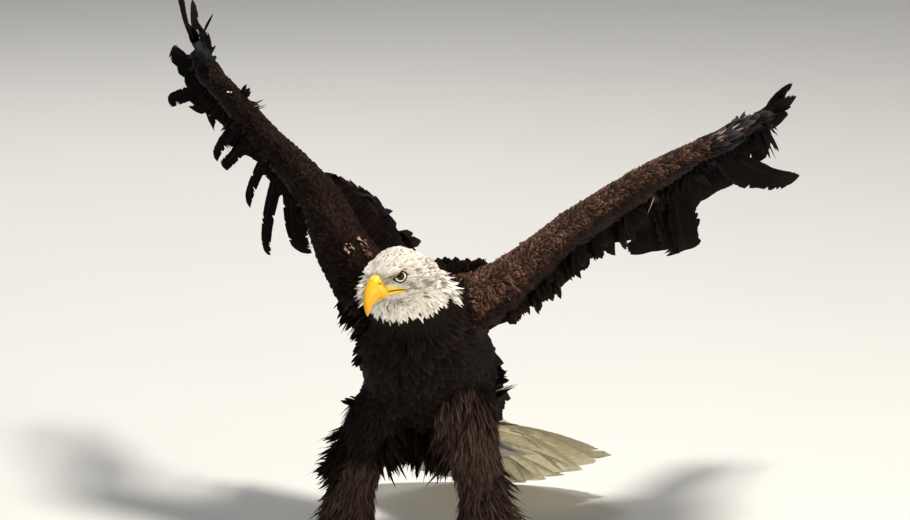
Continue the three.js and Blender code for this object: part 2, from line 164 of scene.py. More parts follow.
# Each wing: its leading edge to the wrist and on to the tip of the hand, the ways it runs back, and the tips
# of the flight feathers, outermost first. A slim feather narrows at a share of its length to a share of its
# width.
wings = {
    "left": {
        "side": 1,
        "edge": [(34, -92, 390), (114, -102, 434), (199, -78, 507), (314, -43, 580), (376, -22, 609)],
        "hand": [(376, -22, 609), (408, -12, 621), (434, 38, 634), (459, 98, 642)],
        "chordIn": (-0.06, 0.88, -0.46), "chordOut": (-0.2, 0.82, -0.53), "palm": (-0.5, 0.62, -0.6),
        "secondaryRoots": (0.93, 0.23), "sweeps": {4: 0.03, 3: 0.01}, "upperCoverts": 26,
        "slims": {0: (0.5, 0.6), 1: (0.8, 0.9), 4: (0.66, 0.8)},
        "primaries": [
            (447, 430, 625), (445, 480, 596), (428, 510, 563), (405, 525, 530), (443, 548, 469),
            (371, 520, 472), (360, 490, 470), (347, 455, 467), (333, 420, 462), (320, 385, 457),
        ],
        "secondaries": [
            (311, 346, 413), (306, 325, 398), (278, 310, 409), (262, 300, 399), (244, 286, 431),
            (213, 268, 417), (185, 253, 400), (158, 240, 372), (125, 226, 348), (90, 208, 326),
            (56, 190, 305),
        ],
    },
    "right": {
        "side": -1,
        "edge": [
            (-54, -90, 380), (-112, -98, 454), (-164, -50, 540), (-234, -2, 594), (-305, 42, 656),
            (-334, 60, 678),
        ],
        "hand": [(-334, 60, 678), (-350, 84, 688), (-364, 132, 692), (-378, 190, 696)],
        "chordIn": (0.04, 0.9, -0.42), "chordOut": (-0.1, 0.84, -0.52), "palm": (0.3, 0.4, -0.86),
        "secondaryRoots": (0.78, 0.23), "sweeps": {}, "upperCoverts": 16,
        "slims": {
            0: (0.42, 0.55), 1: (0.46, 0.5), 2: (0.5, 0.5), 3: (0.32, 0.5), 4: (0.32, 0.42), 5: (0.34, 0.46),
            6: (0.34, 0.4), 7: (0.3, 0.4), 8: (0.3, 0.4), 9: (0.3, 0.36), 10: (0.24, 0.3), 11: (0.24, 0.3),
            12: (0.18, 0.36), 13: (0.18, 0.42), 14: (0.18, 0.56), 15: (0.3, 0.5), 16: (0.4, 0.6),
            17: (0.5, 0.7), 18: (0.6, 0.8),
        },
        "primaries": [
            (-480, 500, 739), (-465, 535, 709), (-437, 545, 687), (-505, 575, 632), (-499, 580, 609),
            (-512, 570, 554), (-470, 530, 549), (-435, 480, 556), (-421, 440, 551), (-409, 410, 543),
        ],
        "secondaries": [
            (-401, 383, 502), (-388, 378, 490), (-346, 350, 443), (-315, 330, 375), (-258, 315, 378),
            (-228, 290, 424), (-205, 280, 403), (-184, 268, 391), (-162, 255, 384), (-138, 240, 380),
            (-111, 222, 381),
        ],
    },
}


armReach = ([0, 0.35, 0.7, 1], [134, 142, 112, 62])  # how far the flesh runs back behind the leading edge
handReach = ([0, 0.3, 0.7, 1], [50, 48, 30, 8])


def backAt(wing, share):
    share = np.atleast_1d(share)[:, None]
    return unit(np.array(wing["chordIn"]) * (1 - share) + np.array(wing["chordOut"]) * share)


def makePiece(name, spots, faces, finish, smooth=True):
    faces = np.asarray(faces, np.int32)
    mesh = bpy.data.meshes.new(name)
    mesh.vertices.add(len(spots))
    mesh.vertices.foreach_set("co", np.asarray(spots, np.float32).ravel())
    mesh.loops.add(faces.size)
    mesh.polygons.add(len(faces))
    mesh.polygons.foreach_set("loop_start", np.arange(0, faces.size, faces.shape[1], dtype=np.int32))
    mesh.polygons.foreach_set("vertices", faces.ravel())
    mesh.update(calc_edges=True)
    if smooth:
        mesh.shade_smooth()
    piece = bpy.data.objects.new(name, mesh)
    bpy.context.scene.collection.objects.link(piece)
    if finish:
        mesh.materials.append(finish)
    return piece


def paint(piece, name, colours):  # a colour for each vertex
    rgba = np.ones((len(colours), 4), np.float32)
    rgba[:, :3] = colours
    piece.data.attributes.new(name, "FLOAT_COLOR", "POINT").data.foreach_set("color", rgba.ravel())


def mapOnto(piece, name, perVertex):  # a flat map from a pair of numbers for each vertex
    layer = piece.data.uv_layers.new(name=name)
    corners = np.empty(len(piece.data.loops), np.int32)
    piece.data.loops.foreach_get("vertex_index", corners)
    layer.uv.foreach_set("vector", np.asarray(perVertex, np.float32)[corners].ravel())


def spotsOf(mesh):
    spots = np.empty(len(mesh.vertices) * 3, np.float32)
    mesh.vertices.foreach_get("co", spots)
    return spots.reshape(-1, 3).astype(float)


def trianglesOf(mesh):
    mesh.calc_loop_triangles()
    found = np.empty(len(mesh.loop_triangles) * 3, np.int32)
    mesh.loop_triangles.foreach_get("vertices", found)
    return found.reshape(-1, 3)


def edgesOf(mesh):
    found = np.empty(len(mesh.edges) * 2, np.int32)
    mesh.edges.foreach_get("vertices", found)
    return found.reshape(-1, 2)


def evened(values, edges, rounds, pull=1.0):  # each value drawn towards the mean of its neighbours
    values = np.array(values, float)
    flat = values.ndim == 1
    if flat:
        values = values[:, None]
    count = len(values)
    near = np.bincount(edges.ravel(), minlength=count).clip(1)[:, None]
    pull = np.asarray(pull, float)
    pull = pull[:, None] if pull.ndim else pull
    for _ in range(rounds):
        total = np.stack(
            [
                np.bincount(edges[:, 0], values[edges[:, 1], k], count)
                + np.bincount(edges[:, 1], values[edges[:, 0], k], count)
                for k in range(values.shape[1])
            ],
            axis=1,
        )
        values += pull * (total / near - values)
    return values[:, 0] if flat else values


def normalsOf(spots, triangles):
    a, b, c = (spots[triangles[:, k]] for k in range(3))
    across = np.cross(b - a, c - a)
    total = np.zeros_like(spots)
    for k in range(3):
        for axis in range(3):
            total[:, axis] += np.bincount(triangles[:, k], across[:, axis], len(spots))
    return unit(total)


def tube(path, radii, sides, flat=1, over=(0, 0, 1)):
    # a round or flattened bar along a path
    along = unit(np.gradient(path, axis=0))
    aside = unit(np.cross(along, over))
    above = np.cross(aside, along)
    turn = np.linspace(0, 2 * math.pi, sides, endpoint=False)
    wide, high = radii[:, None] * np.cos(turn) * flat, radii[:, None] * np.sin(turn)
    rings = path[:, None] + aside[:, None] * wide[..., None] + above[:, None] * high[..., None]
    return closedRings(rings, path)


def closedRings(rings, path):  # spots and faces of rings along a path, closed at both ends
    rows, sides = rings.shape[:2]
    grid = np.arange(rows * sides).reshape(rows, sides)
    right = np.roll(grid, -1, axis=1)
    faces = halves(np.stack([grid[:-1], right[:-1], right[1:], grid[1:]], axis=-1).reshape(-1, 4))
    first = np.stack([np.full(sides, rows * sides), right[0], grid[0]], axis=1)
    last = np.stack([np.full(sides, rows * sides + 1), grid[-1], right[-1]], axis=1)
    return np.vstack([rings.reshape(-1, 3), path[:1], path[-1:]]), np.vstack([faces, first, last])


def sheets(rows, columns, many=1):  # the quads of open sheets, each of rows by columns spots
    grid = np.arange(many * rows * columns).reshape(many, rows, columns)
    corners = [grid[:, :-1, :-1], grid[:, :-1, 1:], grid[:, 1:, 1:], grid[:, 1:, :-1]]
    return np.stack(corners, axis=-1).reshape(-1, 4)


def flatGrid(across, along):  # a pair of numbers for every spot of a sheet
    return np.stack(np.broadcast_arrays(across, along[:, None]), axis=-1).reshape(-1, 2)


def halves(quads):
    return np.vstack([quads[:, [0, 1, 2]], quads[:, [0, 2, 3]]])


def gathered(parts):  # several sets of spots and faces as one
    spots, faces, start = [], [], 0
    for some, those in parts:
        spots.append(some)
        faces.append(those + start)
        start += len(some)
    return np.vstack(spots), np.vstack(faces)


class Wire:  # a socket in a finish, with the sums that shader maths needs
    def __init__(self, finish, socket):
        self.finish, self.socket = finish, socket

    def math(self, operation, *values):
        return self.finish.put("ShaderNodeMath", {"operation": operation}, dict(enumerate(values)))

    def __add__(self, other):
        return self.math("ADD", self, other)

    def __sub__(self, other):
        return self.math("SUBTRACT", self, other)

    def __rsub__(self, other):
        return self.math("SUBTRACT", other, self)

    def __mul__(self, other):
        return self.math("MULTIPLY", self, other)

    def __abs__(self):
        return self.math("ABSOLUTE", self)

    __radd__, __rmul__ = __add__, __mul__

    def wave(self):
        return self.math("SINE", self)

    def most(self, other):
        return self.math("MAXIMUM", self, other)

    def between(self, low, high, start=0.0, end=1.0):  # a smooth climb from start to end
        return self.finish.put(
            "ShaderNodeMapRange", {"interpolation_type": "SMOOTHSTEP"},
            {0: self, 1: low, 2: high, 3: start, 4: end},
        )


class Finish:
    def __init__(self, name):
        self.material = bpy.data.materials.new(name)
        self.material.use_nodes = True
        self.tree = self.material.node_tree
        self.shader = self.tree.nodes["Principled BSDF"]

    def put(self, kind, settings=None, inputs=None, output=0):
        node = self.tree.nodes.new(kind)
        for key, value in (settings or {}).items():
            if key == "stops":
                for i, (spot, colour) in enumerate(value):
                    stop = node.color_ramp.elements[i] if i < 2 else node.color_ramp.elements.new(spot)
                    stop.position, stop.color = spot, (*colour, 1)
            else:
                setattr(node, key, value)
        for key, value in (inputs or {}).items():
            self.feed(node.inputs[key], value)
        return Wire(self, node.outputs[output])

    def feed(self, socket, value):
        if isinstance(value, Wire):
            self.tree.links.new(value.socket, socket)
        else:
            socket.default_value = value

    def wear(self, **values):  # the shader's own sockets, by name with no spaces
        for socket in self.shader.inputs:
            key = socket.name.replace(" ", "")
            if key in values:
                self.feed(socket, values[key])
        return self.material

    def mix(self, factor, first, second, blend="MIX"):
        colours = [value if isinstance(value, Wire) else (*value, 1) for value in (first, second)]
        return self.put(
            "ShaderNodeMix",
            {"data_type": "RGBA", "blend_type": blend},
            {0: factor, 6: colours[0], 7: colours[1]},
            output=2,
        )

    def colour(self, name):
        return self.put("ShaderNodeAttribute", {"attribute_name": name})

    def spot(self):
        return self.put("ShaderNodeTexCoord", output=3)

    def noise(self, scale, detail, where=None):
        return self.put(
            "ShaderNodeTexNoise", None,
            {"Vector": where or self.spot(), "Scale": scale, "Detail": detail, "Roughness": 0.55},
        )

    def bump(self, height, depth, strength):
        return self.put("ShaderNodeBump", None, {"Height": height, "Distance": depth, "Strength": strength})


def vaneFinish(
    name, barbs, slant, edging, start, rough, dim, shaft=0.0, relief=0.00015, gloss=0.05,
):
    # a feather: its own colour, a paler rim, fine slanting barbs and, on large ones, a shaft
    finish = Finish(name)
    flat = finish.put("ShaderNodeSeparateXYZ", None, {0: finish.put("ShaderNodeUVMap", {"uv_map": "vane"})})
    across = abs(flat - 0.5) * 2
    along = Wire(finish, flat.socket.node.outputs[1])
    rows = ((along * barbs - across * slant * 3) * (2 * math.pi)).wave()
    mottle = finish.noise(90, 4)
    rim = across.most(along).between(start, 1.0) * edging
    colour = finish.mix(rim, finish.colour("pigment"), finish.colour("edging"))
    # painted shade: each feather darker towards its root, where the feathers above overlap it; dim sets how much
    shade = (rows * 0.045 + mottle * 0.7 + 0.62) * along.between(0.0, 0.75, 1 - dim, 1.0)  # dark at the root
    colour = finish.mix(1.0, colour, shadeOf(finish, shade), "MULTIPLY")
    height = rows * 0.5
    if shaft:
        quill = across.between(shaft, 0.0)
        colour = finish.mix(quill * 0.7, colour, finish.colour("edging"))
        height = height + quill * 2
    return finish.wear(
        BaseColor=colour,
        Roughness=mottle.between(0.2, 0.8, rough - 0.1, rough + 0.1),
        Normal=finish.bump(height, relief, 0.6),
        SpecularIORLevel=gloss,
    )


def shadeOf(finish, value):
    return finish.put("ShaderNodeCombineColor", None, {0: value, 1: value, 2: value})


tones = {
    "trunk": (0.0062, 0.0042, 0.0034), "trunkEdge": (0.020, 0.0125, 0.009),
    "wing": (0.0115, 0.0066, 0.0054), "wingEdge": (0.060, 0.031, 0.020),
    "hand": (0.0048, 0.0040, 0.0046), "handEdge": (0.0140, 0.0110, 0.0118),
    "mantle": (0.0062, 0.0042, 0.0034), "mantleEdge": (0.016, 0.010, 0.0075),
    "leg": (0.030, 0.0185, 0.0145), "legEdge": (0.095, 0.060, 0.045),
    "quill": (0.0066, 0.0054, 0.0052), "quillEdge": (0.018, 0.013, 0.011),
    "white": (0.79, 0.74, 0.65), "whiteEdge": (0.88, 0.85, 0.78),
    "legDark": (0.020, 0.0125, 0.0095), "legDarkEdge": (0.060, 0.038, 0.028),
    "worn": (0.30, 0.19, 0.145), "wornEdge": (0.48, 0.34, 0.27),
    "fleck": (0.14, 0.095, 0.062), "rust": (0.055, 0.024, 0.016), "rustEdge": (0.20, 0.10, 0.07),
    # the tail's cream is partly its own colour and partly painted light: brighter and yellower than the head's
    # white, in place of light shining through the feathers and thrown up onto their undersides
    "tail": (0.95, 0.86, 0.60), "tailEdge": (0.96, 0.91, 0.76),
    "foot": (0.72, 0.42, 0.05), "lid": (0.44, 0.36, 0.17), "lidEdge": (0.008, 0.006, 0.005),
    # groove is painted shade for the creases of the mouth and the hollow of the nostril
    "gape": (0.86, 0.58, 0.06), "groove": (0.05, 0.022, 0.008),
    "bill": (0.73, 0.38, 0.010), "billTip": (0.72, 0.33, 0.012),
}


# every node of flesh and both eyeballs are cast as one, eased smooth and drawn in by the coat's depth

skin = {
    "grain": 0.0032, "swell": 0.0006, "easing": 16, "faceEasing": 3, "depthEasing": 12, "wayEasing": 6,
}
depths = {
    "trunk": 9, "neck": 9, "head": 3, "leg_left": 8, "leg_right": 8, "foot_left": 0, "foot_right": 0,
    "eye_left": 0, "eye_right": 0,
    "wing_left_arm": 5, "wing_right_arm": 5, "wing_left_hand": 3, "wing_right_hand": 3,
    "wing_left_shoulder": 4, "wing_right_shoulder": 4,
}
fleshNodes = list(depths)


def belongs(part, test):  # whether each spot came from a node whose name passes the test
    return np.isin(part, [i for i, node in enumerate(fleshNodes) if test(node)])


def castFlesh():
    solids = [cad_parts[node].data for node in fleshNodes]
    owners = np.repeat(np.arange(len(solids)), [len(trianglesOf(solid)) for solid in solids])
    spots, faces = gathered([(spotsOf(solid), trianglesOf(solid)) for solid in solids])
    owner = BVHTree.FromPolygons(spots.tolist(), faces.tolist())
    piece = makePiece("cast", spots + normalsOf(spots, faces) * skin["swell"], faces, None)
    remesh = piece.modifiers.new("cast", "REMESH")
    remesh.mode, remesh.voxel_size = "VOXEL", skin["grain"]
    whole = bpy.data.meshes.new_from_object(piece.evaluated_get(bpy.context.evaluated_depsgraph_get()))
    bpy.data.objects.remove(piece)
    return whole, owner, owners


refining = {"aft": 14, "reach": 75, "eye": 20, "corner": (-4, -26, 0)}  # millimetres in the head


def refined(mesh):  # finer faces over the face, finer still round the eyes and the corners of the bill
    fine = bmesh.new()
    fine.from_mesh(mesh)
    for close in (False, True):
        spots = inHead(np.array([v.co for v in fine.verts]))
        chosen = (spots[:, 1] < refining["aft"]) & (np.linalg.norm(spots, axis=1) < refining["reach"])
        if close:
            eyes = [np.array(eyeball["at"]) * (side, 1, 1) for side in (1, -1)]
            away = [np.linalg.norm(spots - middle, axis=1) for middle in eyes]
            fore, low, high = refining["corner"]
            corner = (spots[:, 1] < fore) & (spots[:, 2] > low) & (spots[:, 2] < high)
            chosen &= (np.minimum(*away) < refining["eye"]) | corner
        edges = [e for e in fine.edges if chosen[e.verts[0].index] and chosen[e.verts[1].index]]
        bmesh.ops.subdivide_edges(fine, edges=edges, cuts=1, use_grid_fill=True)
        fine.verts.index_update()
    bmesh.ops.triangulate(fine, faces=fine.faces)
    fine.to_mesh(mesh)
    fine.free()
    return mesh


def roomUnder(spots, normals, triangles):  # how thick the flesh is below each spot
    solid = BVHTree.FromPolygons(spots.tolist(), triangles.tolist())
    room = np.full(len(spots), 0.2)
    for i, (p, n) in enumerate(zip(spots, normals)):
        hit = solid.ray_cast(Vector(p - n * 0.0003), Vector(-n), 0.2)
        if hit[0] is not None:
            room[i] = hit[3]
    return room


# the opening of the lids, in radians from the gaze, and their thickness in millimetres
lids = {
    "long": 0.90, "over": 0.90, "under": 0.64, "slant": 0.06, "cut": (0.42, 0.46), "reach": 1.0,
    "thick": 1.0, "sunk": 1.3, "edge": 0.08,
}
brow = {
    "path": [(13, -37, 13), (22, -30, 15.5), (29, -17, 18.5), (31, 0, 16)], "way": (0.62, -0.35, 0.5),
    "reach": 7, "proud": 3.4,
}
crownSink = 12.0  # the back of the crown is lower than in the solids
mouth = {  # heights of the line of the mouth and of its bare rims, along the side of the head
    "forward": (-47, -35, -24, -17, -11.5),
    "line": (-13.0, -9.5, -11.5, -14.2, -16.2),
    "above": (4.0, -1.0, -8.0, -12.0, -15.2),
    "below": (-16.8, -15.2, -17.2, -18.2, -17.2),
}


def eyeShare(heads, side):
    # for each spot its way out from the eye's middle, its distance, how far inside the opening of the lids it
    # is and its angle above the gaze
    middle = np.array(eyeball["at"]) * (side, 1, 1)
    gaze = unit(np.array(eyeball["gaze"]) * (side, 1, 1))
    up = unit(np.array([0, 0, 1.0]) - gaze * gaze[2])
    fore = np.cross(up, gaze) * -side
    away = heads - middle
    far = np.linalg.norm(away, axis=1)
    out = away / far[:, None]
    front = out @ gaze
    along, above = np.arctan2(out @ fore, front), np.arctan2(out @ up, front)
    above = above + lids["slant"] * along  # the opening slants down towards the bill
    tall = np.where(above > 0, lids["over"], lids["under"]) * (1 - 0.25 * smoothStep(0, 0.9, np.abs(along)))
    inside = 1 - np.hypot(along / lids["long"], above / tall)
    shade = (lids["cut"][0] - lids["cut"][1] * along - above) / 0.8  # the brow cuts the opening short
    inside = np.minimum(inside, shade)
    return out, far, np.where(front > 0.1, inside, -3), above


def mouthShare(heads):
    # how far inside the bare rim of the mouth, and how far above its line, in millimetres
    curves = (np.interp(heads[:, 1], mouth["forward"], mouth[key]) for key in ("line", "above", "below"))
    line, above, below = curves
    inside = np.minimum(heads[:, 2] - below, above - heads[:, 2])
    inside = np.minimum(inside, mouth["forward"][-1] - heads[:, 1])
    inside = np.where((heads[:, 1] > -50) & (np.abs(heads[:, 0]) > 6), inside, -9)
    return inside, heads[:, 2] - line


def shapeFace(heads):
    radius, sunk, edge = eyeball["radius"], eyeball["radius"] - lids["sunk"], lids["edge"]
    for side in (1, -1):
        path = pathAt(np.array(brow["path"]) * (side, 1, 1), np.linspace(0, 1, 40))
        apart = np.linalg.norm(heads[:, None] - path, axis=2).min(1)
        inside = eyeShare(heads, side)[2]
        proud = brow["proud"] * smoothStep(brow["reach"], 1.5, apart) * smoothStep(0.02, -0.12, inside)
        heads = heads + unit(np.array(brow["way"]) * (side, 1, 1)) * proud[:, None]
        out, far, inside, above = eyeShare(heads, side)
        lid = radius + lids["thick"] + 0.6 * smoothStep(0, 0.35, above)
        wanted = np.where(inside > edge, sunk, lid)
        wanted = np.where((inside <= edge) & (inside > 0), lid + (sunk - lid) * inside / edge, wanted)
        weight = np.where(inside > -0.22, 1, 1 - smoothStep(-0.22, -0.22 - lids["reach"], inside))
        weight = np.where((far < 24) & (inside > -3), weight, 0)
        heads = heads + out * ((wanted - far) * weight)[:, None]
    inside, above = mouthShare(heads)
    lip = 1.1 * smoothStep(-0.6, 1.0, inside) - 2.2 * smoothStep(1.1, 0.2, np.abs(above)) * (inside > 0)
    heads = heads + np.stack([np.sign(heads[:, 0]) * lip * 0.9, -0.3 * lip, 0 * lip], axis=1)
    heads[:, 2] -= crownSink * smoothStep(14, 56, heads[:, 1]) * smoothStep(-38, 6, heads[:, 2])
    return heads


def makeSkin():
    mesh, owner, owners = castFlesh()
    mesh = refined(mesh)
    spots, triangles, edges = spotsOf(mesh), trianglesOf(mesh), edgesOf(mesh)
    part = np.array([owners[owner.find_nearest(Vector(p))[2]] for p in spots])
    heads = inHead(spots)
    face = smoothStep(55, 15, heads[:, 1]) * (np.linalg.norm(heads, axis=1) < 90)
    foot = belongs(part, lambda node: node.startswith("foot"))
    gentle = np.maximum(face, foot)
    spots = evened(spots, edges, skin["faceEasing"], 0.5)
    spots = evened(spots, edges, skin["easing"], 0.55 * (1 - gentle))
    normals = normalsOf(spots, triangles)
    deep = evened(np.array([depths[fleshNodes[i]] for i in part]) / 1000, edges, skin["depthEasing"])
    deep = deep * (1 - face * smoothStep(30, -20, heads[:, 1]) * 0.7)
    deep = np.where(foot, 0, deep)
    soft = evened(normals, edges, skin["wayEasing"])
    spots = spots - unit(soft) * np.minimum(deep, 0.3 * roomUnder(spots, normals, triangles))[:, None]
    near = np.linalg.norm(inHead(spots), axis=1) < 90
    spots[near] = place(fromHead(shapeFace(inHead(spots[near]))))
    mesh.vertices.foreach_set("co", spots.astype(np.float32).ravel())
    mesh.update()
    mesh.shade_smooth()
    piece = bpy.data.objects.new("skin", mesh)
    bpy.context.scene.collection.objects.link(piece)
    return piece, spots, triangles, edges, part


skinPiece, skinSpots, skinTriangles, skinEdges, skinPart = makeSkin()
skinNormals = normalsOf(skinSpots, skinTriangles)
softNormals = unit(evened(skinNormals, skinEdges, 5))
skinTree = BVHTree.FromPolygons(skinSpots.tolist(), skinTriangles.tolist())
print("skin:", len(skinSpots), "points,", len(skinTriangles), "triangles")


def onPath(points, spots, samples=160):  # the nearest share of a path and the way it runs there
    shares = np.linspace(0, 1, samples)
    line = pathAt(points, shares)
    parts = np.array_split(spots, max(1, len(spots) // 4000))
    near = np.concatenate([np.argmin(((some[:, None] - line) ** 2).sum(2), axis=1) for some in parts])
    return shares[near], tangentAt(points, shares[near])


def lieOf(node, spots):
    if node.startswith("wing"):
        wing = wings[node.split("_")[1]]
        if node.endswith("hand"):
            return 0.45 * unit(wing["palm"]) + onPath(wing["hand"], spots)[1]
        share, out = onPath(wing["edge"], spots)
        if node.endswith("arm"):
            return backAt(wing, share) + 0.5 * out
        return backAt(wing, share * 0) + 0.4 * onPath(paths["trunk"], spots)[1]
    if node == "neck":
        return -onPath(paths["neck"], spots)[1]
    if node in paths:
        return onPath(paths[node], spots)[1]
    if node.startswith("foot"):
        return np.tile((0, 0, -1.0), (len(spots), 1))
    return np.tile(headTurn @ np.array((0, 0.97, -0.2)), (len(spots), 1))


skinDrawn = inDrawing(skinSpots)


def perNode(rule):  # a value for every point of the skin from the rule of the node that it came from
    found = None
    for i, node in enumerate(fleshNodes):
        chosen = skinPart == i
        if chosen.any():
            value = np.asarray(rule(node, skinDrawn[chosen]), float)
            if found is None:
                found = np.zeros((len(skinDrawn), *value.shape[1:]))
            found[chosen] = value
    return found


kinds = {"head": 1, "neck": 1, "eye": 1, "trunk": 2, "wing": 3, "leg": 4, "foot": 0}
skinHeads = inHead(skinSpots)
skinKind = np.array([kinds[node.split("_")[0]] for node in fleshNodes])[skinPart]


def aftOf(wing, spots, share):  # how far behind the leading edge, from 0 to 1
    reach = np.interp(share, *armReach)
    return np.clip(((spots - pathAt(wing["edge"], share)) * backAt(wing, share)).sum(1) / reach, 0, 1)


def sizeOf(node, spots):  # length, width and spacing of the feathers, in millimetres
    ones = np.ones(len(spots))
    if node == "head" or node.startswith("eye"):
        back = (spots - headAt) @ headTurn[:, 1]
        long = 3.0 + 3.6 * smoothStep(-38, -5, back) + 13 * smoothStep(4, 56, back)
        return np.stack([long, 0.45 + 0.23 * long, 0.98 + 0.105 * (long - 3)], axis=1)
    if node == "neck":
        share = onPath(paths["neck"], spots)[0]
        return np.stack([27 - 9 * share, 5.6 - 1.2 * share, 3.5 - 0.7 * share], axis=1)
    if node == "trunk":
        share = onPath(paths["trunk"], spots)[0]
        long = 30 + 16 * smoothStep(0.1, 0.7, share)
        return np.stack([long, 0.38 * long, 6.2 * ones], axis=1)
    if node.startswith("leg"):
        share = onPath(paths[node], spots)[0]
        return np.stack([33 + 10 * share, 3.6 - 0.4 * share, 2.75 * ones], axis=1)
    if node.startswith("wing"):
        wing = wings[node.split("_")[1]]
        if node.endswith("arm"):
            share = onPath(wing["edge"], spots)[0]
            aft = aftOf(wing, spots, share)
            return np.stack([11.5 + 40 * aft**1.3, 4.4 + 13 * aft, 2.15 + 5.2 * aft], axis=1)
        if node.endswith("hand"):
            return np.stack([32 * ones, 9 * ones, 4.2 * ones], axis=1)
        return np.stack([44 * ones, 23 * ones, 7.5 * ones], axis=1)
    return np.stack([8 * ones, 4 * ones, 4 * ones], axis=1)


flow = evened(perNode(lieOf), skinEdges, 25)
flow = unit(flow - softNormals * (flow * softNormals).sum(1)[:, None])
sizes = evened(perNode(sizeOf), skinEdges, 10)
isNeck = belongs(skinPart, lambda node: node == "neck")
isHead = (skinKind == 1) & ~isNeck
neckShare = np.where(isNeck, onPath(paths["neck"], skinDrawn)[0], 0.0)
neckShare[isHead] = 1


def bareness():  # 1 where the face has no feathers: the lids and the rims of the mouth
    face = np.linalg.norm(skinHeads, axis=1) < 60
    gape = smoothStep(-0.3, 0.3, mouthShare(skinHeads)[0]) * face
    lid = np.maximum(*(smoothStep(-0.50, -0.42, eyeShare(skinHeads, side)[2]) * face for side in (1, -1)))
    return np.maximum(lid, gape), lid, gape


skinBare, skinLid, skinGape = bareness()


def armAft(node, spots):
    if not node.startswith("wing") or not node.endswith("arm"):
        return np.zeros(len(spots))
    wing = wings[node.split("_")[1]]
    return aftOf(wing, spots, onPath(wing["edge"], spots)[0])


def hindPartAndShadeBelow():  # 1 on the hind part of each wing, where the coat is made darker, and on the underside, where the faces point down, as painted shade
    behind, below = smoothStep(0.22, 0.5, perNode(armAft)), smoothStep(0.22, -0.35, softNormals[:, 2])
    return evened(np.maximum(behind, below), skinEdges, 6)


skinHindAndShadeBelow = hindPartAndShadeBelow()


markings = {  # in millimetres along the head and the neck, metres above the floor, and shares
    "hem": -66, "hemSlope": 0.10, "ragged": 5, "thigh": {"left": 0.222, "right": 0.166},
    "rust": ([-0.01, 0.01, 0.14, 0.26], [0.46, 3.9, 3.9, 2.8]),
    "lore": {"from": (15, -36, 10), "to": (24, -26, 11), "reach": (4.5, 1.5)},
}


def smudgeAt(heads, white, neck):  # how dirty the white feathers are
    back, up = heads[:, 1], heads[:, 2]
    streak = smoothStep(-0.4, 0.8, ripple(heads * (1, 0.3, 1) / 1000, 0.006, 5))
    smudge = 0.12 + 0.70 * streak * smoothStep(-26, -4, back) * smoothStep(24, 6, up)
    smudge *= smoothStep(66, 26, back) * smoothStep(-40, -24, up)
    speck = chance.random(len(heads))
    often = 0.06 + 0.12 * smoothStep(18, 30, up) * smoothStep(44, 20, back)
    smudge = np.maximum(smudge, 0.85 * (speck < often))
    lore = markings["lore"]  # the dusky line between eye and bill
    for side in (1, -1):
        inside = eyeShare(heads, side)[2]
        smudge = np.maximum(smudge, smoothStep(-0.9, -0.4, inside) * (0.25 + 0.7 * (speck < 0.45)))
        start, end = (np.array(lore[key]) * (side, 1, 1) for key in ("from", "to"))
        share = np.clip((heads - start) @ (end - start) / ((end - start) @ (end - start)), 0, 1)
        apart = np.linalg.norm(heads - start - share[:, None] * (end - start), axis=1)
        smudge = np.maximum(smudge, smoothStep(*lore["reach"], apart))
    return np.where(white, smudge * np.where(neck > 0.9, 1, 0.4), 0)[:, None]


def coloursAt(spots, kind, neck, part, dim):
    # pigment and edging for roots or skin points, by what the place is
    heads = inHead(spots)
    hem = heads[:, 2] - markings["hem"] - markings["hemSlope"] * (heads[:, 1] - 40)
    white = (kind == 1) & (hem + markings["ragged"] * ripple(spots, 0.016, 3) > 0)
    # a leg takes the trunk's near black above this height: on the left leg from the top of the thigh, on the
    # right leg from lower down, as painted shadow from the body
    thigh = np.where(inDrawing(spots)[:, 0] < -20, markings["thigh"]["right"], markings["thigh"]["left"])
    shoulders = belongs(part, lambda node: node.endswith("shoulder"))
    pigment, edging = (np.tile(tones[key], (len(spots), 1)) for key in ("trunk", "trunkEdge"))
    for tone, chosen in (
        ("wing", kind == 3), ("leg", kind == 4), ("white", white),
        ("trunk", (kind == 4) & (spots[:, 2] > thigh + 0.008 * ripple(spots, 0.03, 8))),
        ("hand", belongs(part, lambda node: node.endswith("hand"))), ("mantle", shoulders),
    ):
        pigment[chosen], edging[chosen] = tones[tone], tones[tone + "Edge"]
    patch = (kind == 3) & ~shoulders
    # the wing's colours darker on the hind part, and darker where the skin faces down, as painted shade
    rust, hindAndShadeBelow = np.interp(spots[patch, 0], *markings["rust"])[:, None], dim[patch, None]
    patchy = 0.55 + 0.6 * smoothStep(-0.7, 0.9, ripple(spots[patch], 0.035, 12))[:, None]
    edging[patch] *= rust * patchy * (1 - 0.88 * hindAndShadeBelow)
    pigment[patch] *= rust**0.7 * (1 - 0.6 * hindAndShadeBelow)
    smudge = smudgeAt(heads, white, neck)
    fleck = np.array(tones["fleck"])
    return pigment * (1 - smudge) + fleck * smudge, edging * (1 - 0.75 * smudge) + fleck * 0.75 * smudge


def washed(colours, share, tone):  # the colours drawn towards a tone
    return colours * (1 - share[:, None]) + np.array(tones[tone]) * share[:, None]


